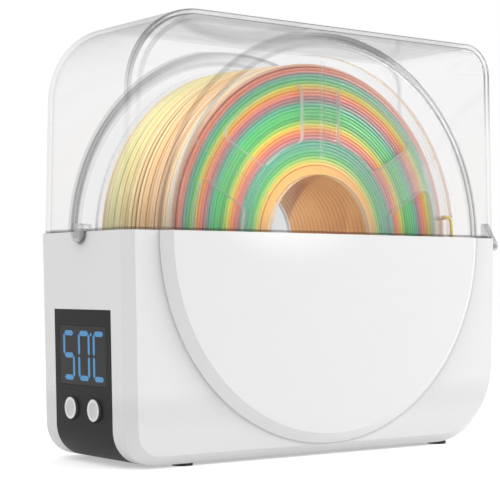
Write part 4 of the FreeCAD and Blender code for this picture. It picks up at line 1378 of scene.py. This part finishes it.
@dataclass
class WoundFilament:
    """Filament on the spool: stacked layers with an outer layer of turns and its parked end."""

    hub_radius: float = 40.1
    core_radius: float = 94.0
    half_width: float = 33.8
    strand: float = 1.75
    crease: float = 80.0
    seed: int = 7
    ring_depth: float = 0.5
    ring_samples: int = 5
    core_columns: int = 160
    sway_size: Span = (0.05, 0.25)
    sway_waves: int = 3
    rear_pile: float = 2.6
    layer_tone: Span = (0.1, 1.0)
    # Painted shade in the gaps between strands, as a share of the colour.
    gap_shade_share: float = 0.35
    tone_power: float = 0.3
    # Painted light: share of the pale colour that lightens the wall at the hub.
    wall_pale: float = 0.3
    spacing: float = 1.83
    turn_samples: int = 110
    tube_sides: int = 8
    bunch_turns: float = 2.7
    bunch_drift: float = 1.5
    drift_pace: float = 0.071
    bunch_wobble: float = 0.25
    stray: float = 0.5
    climb: float = 0.28
    rear_phase: float = 0.812
    front_phase: float = 0.735
    phase_power: float = 1.4
    phase_spread: float = 0.01
    # Painted highlight and painted shade in part: spans of the outer turns' pale blend and shade.
    turn_pale: Span = (0.25, 1.0)
    turn_tone: Span = (0.0, 1.0)
    tail_phase: float = 0.8
    tail_tone: float = 1.0
    tail_pale: float = 0.1
    park_angle: float = 8.5
    park_lead: float = 0.06
    flange_face: float = 37.0
    tail_stand: float = 0.75
    tail_drop: float = 17.0
    tail_samples: int = 8
    # Pale colour of the painted highlight and painted light.
    pale: Colour = from_srgb(255, 246, 206)

    @property
    def turn_radius(self) -> float:
        """Radius of the outer layer, at the middle of its strand."""
        return self.core_radius + self.strand / 2

    def finish(self) -> WoundColours:
        """Colours of the layers by radius, from the hub out.

        Returns:
            The finish.
        """
        teal, green, lime = from_srgb(98, 192, 160), from_srgb(92, 204, 114), from_srgb(190, 218, 92)
        yellow, orange, salmon = from_srgb(252, 214, 84), from_srgb(250, 170, 82), from_srgb(248, 144, 112)
        plum, grey = from_srgb(210, 130, 132), from_srgb(172, 158, 158)
        layers = (
            (40.1, orange), (41.6, yellow), (43.2, lime), (46.0, green), (50.6, teal), (53.4, teal),
            (54.2, grey), (55.6, plum), (58.4, salmon), (60.0, orange), (61.8, yellow), (63.2, lime),
            (66.2, green), (70.2, green), (73.8, teal), (75.6, grey), (77.8, plum), (79.6, salmon),
            (81.4, orange), (83.2, yellow), (84.6, lime), (86.4, green), (89.2, teal), (90.6, grey),
            (91.8, salmon), (94.0, salmon),
        )
        stops = [(self.phase_at(radius), colour) for radius, colour in layers]
        return WoundColours("wound_filament", stops, self.pale)

    def phase_at(self, radius: Numbers) -> Numbers:
        """Place in the colours of a layer, from 0 at the hub to 1 at the outermost layer."""
        return (radius - self.hub_radius) / (self.core_radius - self.hub_radius)

    def core(self) -> Piece:
        """Stacked layers: a ring whose two sides are a row of round strands.

        Across a side the height follows half circles, one for each layer, and each layer sways
        a little round the axis. Along the wall at the hub it follows a row of arches. Painted shade
        darkens the gaps between strands, and painted light pales the wall.

        Returns:
            The piece.
        """
        chance = np.random.default_rng(self.seed)
        layers = int((self.core_radius - self.hub_radius) / self.strand)
        share = np.linspace(0, 1, self.ring_samples, endpoint=False)
        arch = np.sqrt(1 - (2 * share - 1) ** 2)
        steps = (np.arange(layers)[:, None] + share).ravel()
        radius = self.hub_radius + steps * (self.core_radius - self.hub_radius) / layers
        piled = radius + self.rear_pile * self.phase_at(radius)
        angle = np.linspace(0, TURN, self.core_columns, endpoint=False)
        sway = chance.uniform(0, TURN, layers).repeat(self.ring_samples)[:, None]
        size = chance.uniform(*self.sway_size, layers).repeat(self.ring_samples)[:, None]
        rise = np.tile(arch, layers)[:, None] * self.ring_depth
        face = self.half_width - self.ring_depth
        depth = face + rise - size * (1 + np.sin(self.sway_waves * angle + sway))
        strands = int(2 * self.half_width / self.strand)
        wall_share = np.linspace(0, 1, strands * self.ring_samples, endpoint=False)
        wall_depth = (1 - 2 * wall_share) * face
        wall_rise = self.ring_depth * (1 - np.abs(np.sin(math.pi * strands * wall_share)))
        even = np.ones((1, self.core_columns))
        depths = np.vstack([-depth, depth[::-1], wall_depth[:, None] * even])
        radii = np.concatenate([radius, piled[::-1], self.hub_radius + wall_rise])[:, None] * even
        tone = chance.uniform(*self.layer_tone, layers).repeat(self.ring_samples) ** self.tone_power
        # Painted shade: darker at each layer's edges, in the gaps between strands; the layer's own tone is
        # random.
        tone *= np.tile(arch * self.gap_shade_share + (1 - self.gap_shade_share), layers)
        wall_tone = 1 - self.gap_shade_share * wall_rise / self.ring_depth
        shade = np.concatenate([tone, tone[::-1], wall_tone])
        # Painted light: the wall at the hub is paled.
        pale = np.concatenate([np.zeros(2 * len(tone)), np.full(len(wall_tone), self.wall_pale)])
        marks = {
            "phase": self.phase_at(radii), "shade": shade[:, None] * even, "pale": pale[:, None] * even,
        }
        patch = Patch(round_spool(radii, depths, angle), wrap_rows=True, wrap_columns=True)
        return Piece(
            "filament_layers", [patch], Body.SPOOL, Slot.FILAMENT, ["filament_core"], self.crease, marks,
        )

    def turns(self) -> Piece:
        """Outer layer: one strand that winds from the rear flange to the front one and parks its end.

        The strand is a helix round the spool's axis with a small slow sway. Its end goes out
        through the flange and hangs down in front of it.

        Returns:
            The piece.
        """
        chance = np.random.default_rng(self.seed + 1)
        reach = self.half_width - self.strand / 2
        turns = int(2 * reach / self.spacing)
        last = math.radians(self.park_angle) - self.park_lead
        angle = np.linspace(last - TURN * turns, last, turns * self.turn_samples)
        share = np.linspace(0, 1, len(angle))
        # The third draw isn't used, and keeps the draws after it as they are.
        slow, quick, _ = chance.uniform(0, TURN, 3)
        bunch = angle / self.bunch_turns + self.bunch_drift * np.sin(angle * self.drift_pace + slow)
        bunch += self.bunch_wobble * np.sin(angle + quick)
        inside = np.sin(math.pi * share) ** 0.5
        depth = reach - 2 * reach * share + self.stray * np.sin(bunch) * inside
        far = self.turn_radius + self.climb * (1 + np.cos(bunch)) * inside + self.rear_pile * (1 - share)
        tail = self.tail()
        path = np.vstack([round_spool(far, depth, angle), tail])
        number = (angle - angle[0]) / TURN
        turn = np.arange(turns + 1)
        shift = np.interp(number, turn, chance.normal(0, self.phase_spread, turns + 1))
        # At random for each turn: the pale blend, partly painted highlight, and the shade, partly painted
        # shade between bunches.
        pale = np.interp(number, turn, chance.uniform(*self.turn_pale, turns + 1))
        shade = np.interp(number, turn, chance.uniform(*self.turn_tone, turns + 1)) ** self.tone_power
        phase = self.rear_phase + (self.front_phase - self.rear_phase) * share ** self.phase_power + shift
        amounts = {
            "phase": (phase, self.tail_phase),
            "shade": (shade, self.tail_tone),
            "pale": (pale, self.tail_pale),
        }
        marks = {
            name: np.repeat([wound[0], *wound, *[parked] * (len(tail) + 1)], self.tube_sides)
            for name, (wound, parked) in amounts.items()
        }
        return Piece(
            "filament_outer_turns", [tube(path, self.strand / 2, self.tube_sides)],
            Body.SPOOL, Slot.FILAMENT, ["filament_winding"], self.crease, marks,
        )

    def tail(self) -> np.ndarray:
        """Parked end: out through the hole in the flange, then down in front of it.

        Returns:
            Points by three.
        """
        hole = round_spool(self.turn_radius, 0.0, math.radians(self.park_angle))
        front = self.flange_face + self.strand * self.tail_stand
        knots = hole + np.array([
            (0.6, -self.half_width + 0.6, -0.9),
            (0.0, -self.half_width - 1.4, 0.0),
            (0.0, -self.flange_face, 0.0),
            (1.6, -front - 0.3, -0.8),
            (2.8, -front - 0.2, -4.0),
            (3.2, -front - 0.5, -self.tail_drop),
        ])
        return through(knots, self.tail_samples)

    def build(self) -> None:
        """Core and outer layer in one finish."""
        material = self.finish().material()
        self.core().build(material)
        self.turns().build(material)


@dataclass
class ControlPanel:
    """Dark panel at the left end with a lit temperature display and two buttons."""

    draft: float = 2.6
    end_height: float = 118.6
    digit_foot: float = 43.1
    digit_height: float = 25.8
    digit_width: float = 11.6
    level_stroke: float = 2.7
    upright_stroke: float = 1.9
    break_gap: float = 0.35
    digit_edges: Sequence[tuple[str, float]] = (("5", 19.4), ("0", 4.3), ("C", -10.4))
    degree: Circle = (-8.4, 67.2, 0.9)
    degree_steps: int = 16
    lit_sink: float = 0.03
    lit_rise: float = 0.06
    lit_crease: float = 30.0
    lit: Colour = from_srgb(44, 128, 182)
    lit_strength: float = 1.0
    gloss: float = 0.15
    button_radius: float = 5.8
    button_rim: Colour = from_srgb(240, 240, 240)
    button_face: Colour = from_srgb(216, 217, 218)
    button_outline: Colour = from_srgb(88, 88, 90)

    SEGMENTS: ClassVar[dict[str, str]] = {"5": "afgcd", "0": "abcdef", "C": "adef"}

    def face(self, height: np.ndarray) -> np.ndarray:
        """Place of the lens face across the width at a height."""
        low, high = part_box("display_lens")
        return low.x / MM + (high.z / MM - height) * self.draft / self.end_height

    def bar(self, start: Span, end: Span) -> np.ndarray:
        """Outline of one stroke with pointed ends, between two points of the display face.

        Args:
            start: One point, across the depth and up.
            end: The other.

        Returns:
            Points by two.
        """
        first, last = np.array(start), np.array(end)
        way = (last - first) / np.linalg.norm(last - first)
        stroke = self.level_stroke if abs(way[0]) > abs(way[1]) else self.upright_stroke
        side = np.array([-way[1], way[0]]) * stroke / 2
        first = first + way * self.break_gap
        last = last - way * self.break_gap
        shoulder = way * stroke / 2
        return np.array([
            first, first + shoulder + side, last - shoulder + side,
            last, last - shoulder - side, first + shoulder - side,
        ])

    def strokes(self, digit: str, edge: float) -> list[np.ndarray]:
        """Outlines of the lit strokes of one digit.

        Args:
            digit: The digit or letter.
            edge: Place of its left side across the depth.

        Returns:
            Points by two, across the depth and up, for each stroke.
        """
        inset = self.upright_stroke / 2
        left, right = edge - inset, edge - self.digit_width + inset
        low = self.digit_foot + self.level_stroke / 2
        high = low + self.digit_height - self.level_stroke
        middle = (low + high) / 2
        places = {
            "a": ((left, high), (right, high)),
            "b": ((right, high), (right, middle)),
            "c": ((right, middle), (right, low)),
            "d": ((left, low), (right, low)),
            "e": ((left, middle), (left, low)),
            "f": ((left, high), (left, middle)),
            "g": ((left, middle), (right, middle)),
        }
        return [self.bar(*places[letter]) for letter in self.SEGMENTS[digit]]

    def plate(self, outline: np.ndarray) -> Patch:
        """Thin lit plate on the display face: an outline at two depths, each closed to its middle.

        Args:
            outline: Points by two, across the depth and up.

        Returns:
            The surface.
        """
        middle = np.broadcast_to(outline.mean(axis=0), outline.shape)
        levels = (
            (middle, self.lit_sink), (outline, self.lit_sink),
            (outline, -self.lit_rise), (middle, -self.lit_rise),
        )
        rows = [np.column_stack([self.face(flat[:, 1]) + depth, flat]) for flat, depth in levels]
        return Patch(np.stack(rows), wrap_columns=True)

    def build(self) -> None:
        """Lit digits of the display."""
        material = Glow("lit_digits", self.lit, self.lit_strength).material()
        outlines = [bar for digit, edge in self.digit_edges for bar in self.strokes(digit, edge)]
        outlines.append(hull([self.degree], self.degree_steps))
        patches = [self.plate(outline) for outline in outlines]
        Piece("lit_digits", patches, Body.HOUSING, Slot.DISPLAY, crease=self.lit_crease).build(material)

    def dress(self) -> None:
        """Finishes of the CAD nodes."""
        panel = Moulded("panel_black", from_srgb(30, 30, 31), roughness=0.45, edge=0.4, gloss=self.gloss)
        lens = Moulded(
            "lens_smoked", from_srgb(44, 43, 43), roughness=0.2, grain_depth=0.0005, gloss=self.gloss,
        )
        green, track = from_srgb(24, 92, 58), from_srgb(62, 132, 84)
        board = Tracks("board_green", green, track, pitch=2.2, roughness=0.4)
        dress(["display_panel"], panel)
        dress(["display_lens"], lens)
        for name in ("button_front", "button_rear"):
            low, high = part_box(name)
            middle = (low + high) / (2 * MM)
            dress([name], PushButton(
                name + "_face", self.button_rim, self.button_face, self.button_outline,
                middle.z, middle.y, self.button_radius,
            ))
        dress(["display_module"], Moulded("module_dark", from_srgb(40, 42, 46), roughness=0.3))
        dress(["control_board"], board)
        dress(["tact_switches"], Moulded("switch_black", from_srgb(38, 38, 40), roughness=0.5))


@dataclass
class RunningGear:
    """Tray, roller brackets, axles and rollers under the spool, the hinge pins and the screws."""

    edge: float = 0.4
    screw_streak: Stretch = (1, 1, 0.05)

    def dress(self) -> None:
        """Finishes of the CAD nodes."""
        inner = Moulded("inner_white", from_srgb(226, 227, 229), roughness=0.5, edge=self.edge)
        dress(["inner_tray", "roller_bracket_left", "roller_bracket_right"], inner)
        brass = Metal("bush_brass", from_srgb(206, 172, 106), roughness=0.32)
        dress(["axle_bushes_left", "axle_bushes_right"], brass)
        steel = Metal("axle_steel", from_srgb(196, 198, 202), roughness=0.22)
        dress(["roller_axle_left", "roller_axle_right", "hinge_pin_front", "hinge_pin_rear"], steel)
        rollers = Moulded("roller_grey", from_srgb(120, 122, 126), roughness=0.55, edge=self.edge)
        dress(["spool_rollers_left", "spool_rollers_right"], rollers)
        screws = Metal("screw_steel", from_srgb(176, 178, 182), roughness=0.34, streak=self.screw_streak)
        dress(["tray_screws", "board_screws", "bracket_screws"], screws)


@dataclass
class Heating:
    """Heater plate with its film, sensors, inlet and leads."""

    film_pitch: float = 4.0
    inlet_edge: float = 0.3
    plate_streak: Stretch = (0.05, 1, 1)

    def dress(self) -> None:
        """Finishes of the CAD nodes."""
        amber, track = from_srgb(176, 96, 30), from_srgb(214, 156, 84)
        plate = Metal("plate_aluminium", from_srgb(204, 206, 208), roughness=0.3, streak=self.plate_streak)
        dress(["heater_plate"], plate)
        dress(["heating_film"], Tracks("film_amber", amber, track, self.film_pitch, roughness=0.35))
        dress(["heater_posts"], Moulded("post_white", from_srgb(232, 230, 222), roughness=0.6))
        sensors = Moulded("sensor_black", from_srgb(44, 42, 42), roughness=0.45)
        dress(["thermal_cutoff", "temperature_probe"], sensors)
        inlet = Moulded("inlet_black", from_srgb(34, 34, 36), roughness=0.42, edge=self.inlet_edge)
        dress(["power_inlet"], inlet)
        dress(["inlet_pin"], Metal("pin_brass", from_srgb(208, 176, 112), roughness=0.25))
        dress(["heater_lead", "power_lead"], Moulded("lead_red", from_srgb(168, 44, 40), roughness=0.45))


# Studio


@dataclass(frozen=True)
class Lamp:
    """A lamp that points at a target: places in metres, power in watts."""

    name: str
    place: Place
    target: Place
    power: float

    def light(self) -> bpy.types.Light:
        """The light itself, which each kind of lamp makes in its own way."""
        raise NotImplementedError

    def stand(self) -> None:
        """Stands the lamp at its place and turns it to its target."""
        lamp = put_in_scene(self.name, self.light())
        away = np.array(self.place) - np.array(self.target)
        tilt = math.atan2(math.hypot(away[0], away[1]), away[2])
        lamp.location = self.place
        lamp.rotation_euler = (tilt, 0.0, math.atan2(away[0], -away[1]))


@dataclass(frozen=True)
class SoftLamp(Lamp):
    """Square lamp, as wide as its size in metres."""

    size: float = 0.8

    def light(self) -> bpy.types.Light:
        """Makes a square light.

        Returns:
            The light.
        """
        square = bpy.data.lights.new(self.name, "AREA")
        square.energy = self.power
        square.size = self.size
        return square


@dataclass(frozen=True)
class NarrowLamp(Lamp):
    """Lamp with a narrow cone: angle in degrees, radius in metres, and the soft share of the cone."""

    angle: float
    softness: float = 0.6
    radius: float = 0.03

    def light(self) -> bpy.types.Light:
        """Makes a light with a cone.

        Returns:
            The light.
        """
        cone = bpy.data.lights.new(self.name, "SPOT")
        cone.energy = self.power
        cone.spot_size = math.radians(self.angle)
        cone.spot_blend = self.softness
        cone.shadow_soft_size = self.radius
        return cone


@dataclass
class Studio:
    """Pale floor, soft light and the camera of the photo, with places in metres.

    The two soft lamps light the whole object, and the narrow ones reach through the lid.
    """

    floor_half: float = 6.0
    floor_colour: Colour = (0.88, 0.88, 0.88)
    floor_glow: float = 0.44
    ambient: float = 0.64
    shown: float = 1.0
    lamps: Sequence[Lamp] = (
        SoftLamp("key", (1.5, -0.8, 0.85), (0.0, 0.0, 0.1), power=17.0),
        SoftLamp("fill", (-0.6, 0.1, 1.3), (0.0, 0.0, 0.1), power=3.8),
        NarrowLamp("bore_lamp", (-0.72, -0.78, 0.2), (0.012, 0.0, 0.148), power=60.0, angle=2.7),
        NarrowLamp("turns_lamp", (-1.2, -0.4, 0.7), (-0.065, 0.0, 0.178), power=36.0, angle=4.6),
    )
    camera_place: Place = (-0.5322, -0.6796, 0.0929)
    camera_turn: float = -36.92
    focal: float = 109.59
    rise: float = 0.0686

    def floor(self) -> None:
        """Flat pale floor under the feet."""
        half = self.floor_half
        corners = [(-half, -half, 0), (half, -half, 0), (half, half, 0), (-half, half, 0)]
        mesh = bpy.data.meshes.new("floor")
        mesh.from_pydata(corners, [], [(0, 1, 2, 3)])
        mesh.materials.append(PaleFloor("floor_pale", self.floor_colour, self.floor_glow).material())
        ground = put_in_scene("floor", mesh)

    def surroundings(self) -> None:
        """Even white surroundings, which light the object less than they show."""
        world = bpy.data.worlds.new("studio")
        bpy.context.scene.world = world
        graph = Graph(world)
        levels = (self.ambient, self.shown)
        skies = [graph.get("ShaderNodeBackground", 0, inputs={0: WHITE, 1: level}) for level in levels]
        seen = graph.rays(*BACKGROUND_RAYS)
        graph.add("ShaderNodeOutputWorld", inputs={"Surface": graph.mix(seen, *skies)})

    def camera(self) -> None:
        """Level camera in front of the left corner."""
        lens = bpy.data.cameras.new("camera")
        lens.lens = self.focal
        lens.shift_y = self.rise
        viewer = put_in_scene("camera", lens)
        viewer.location = self.camera_place
        viewer.rotation_euler = (math.pi / 2, 0.0, math.radians(self.camera_turn))
        bpy.context.scene.camera = viewer

    def build(self) -> None:
        """Everything round the object."""
        self.floor()
        self.surroundings()
        for lamp in self.lamps:
            lamp.stand()
        self.camera()
        bpy.context.scene.view_settings.view_transform = "Standard"


def main() -> None:
    """Builds and dresses each sub-assembly, then the studio."""
    logging.basicConfig(level=logging.INFO, format="%(message)s")
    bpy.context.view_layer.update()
    LowerHousing().dress()
    ClearLid().build()
    spool = Spool()
    spool.build()
    spool.dress()
    WoundFilament().build()
    panel = ControlPanel()
    panel.dress()
    panel.build()
    RunningGear().dress()
    Heating().dress()
    Studio().build()


if __name__ == "__main__":
    main()
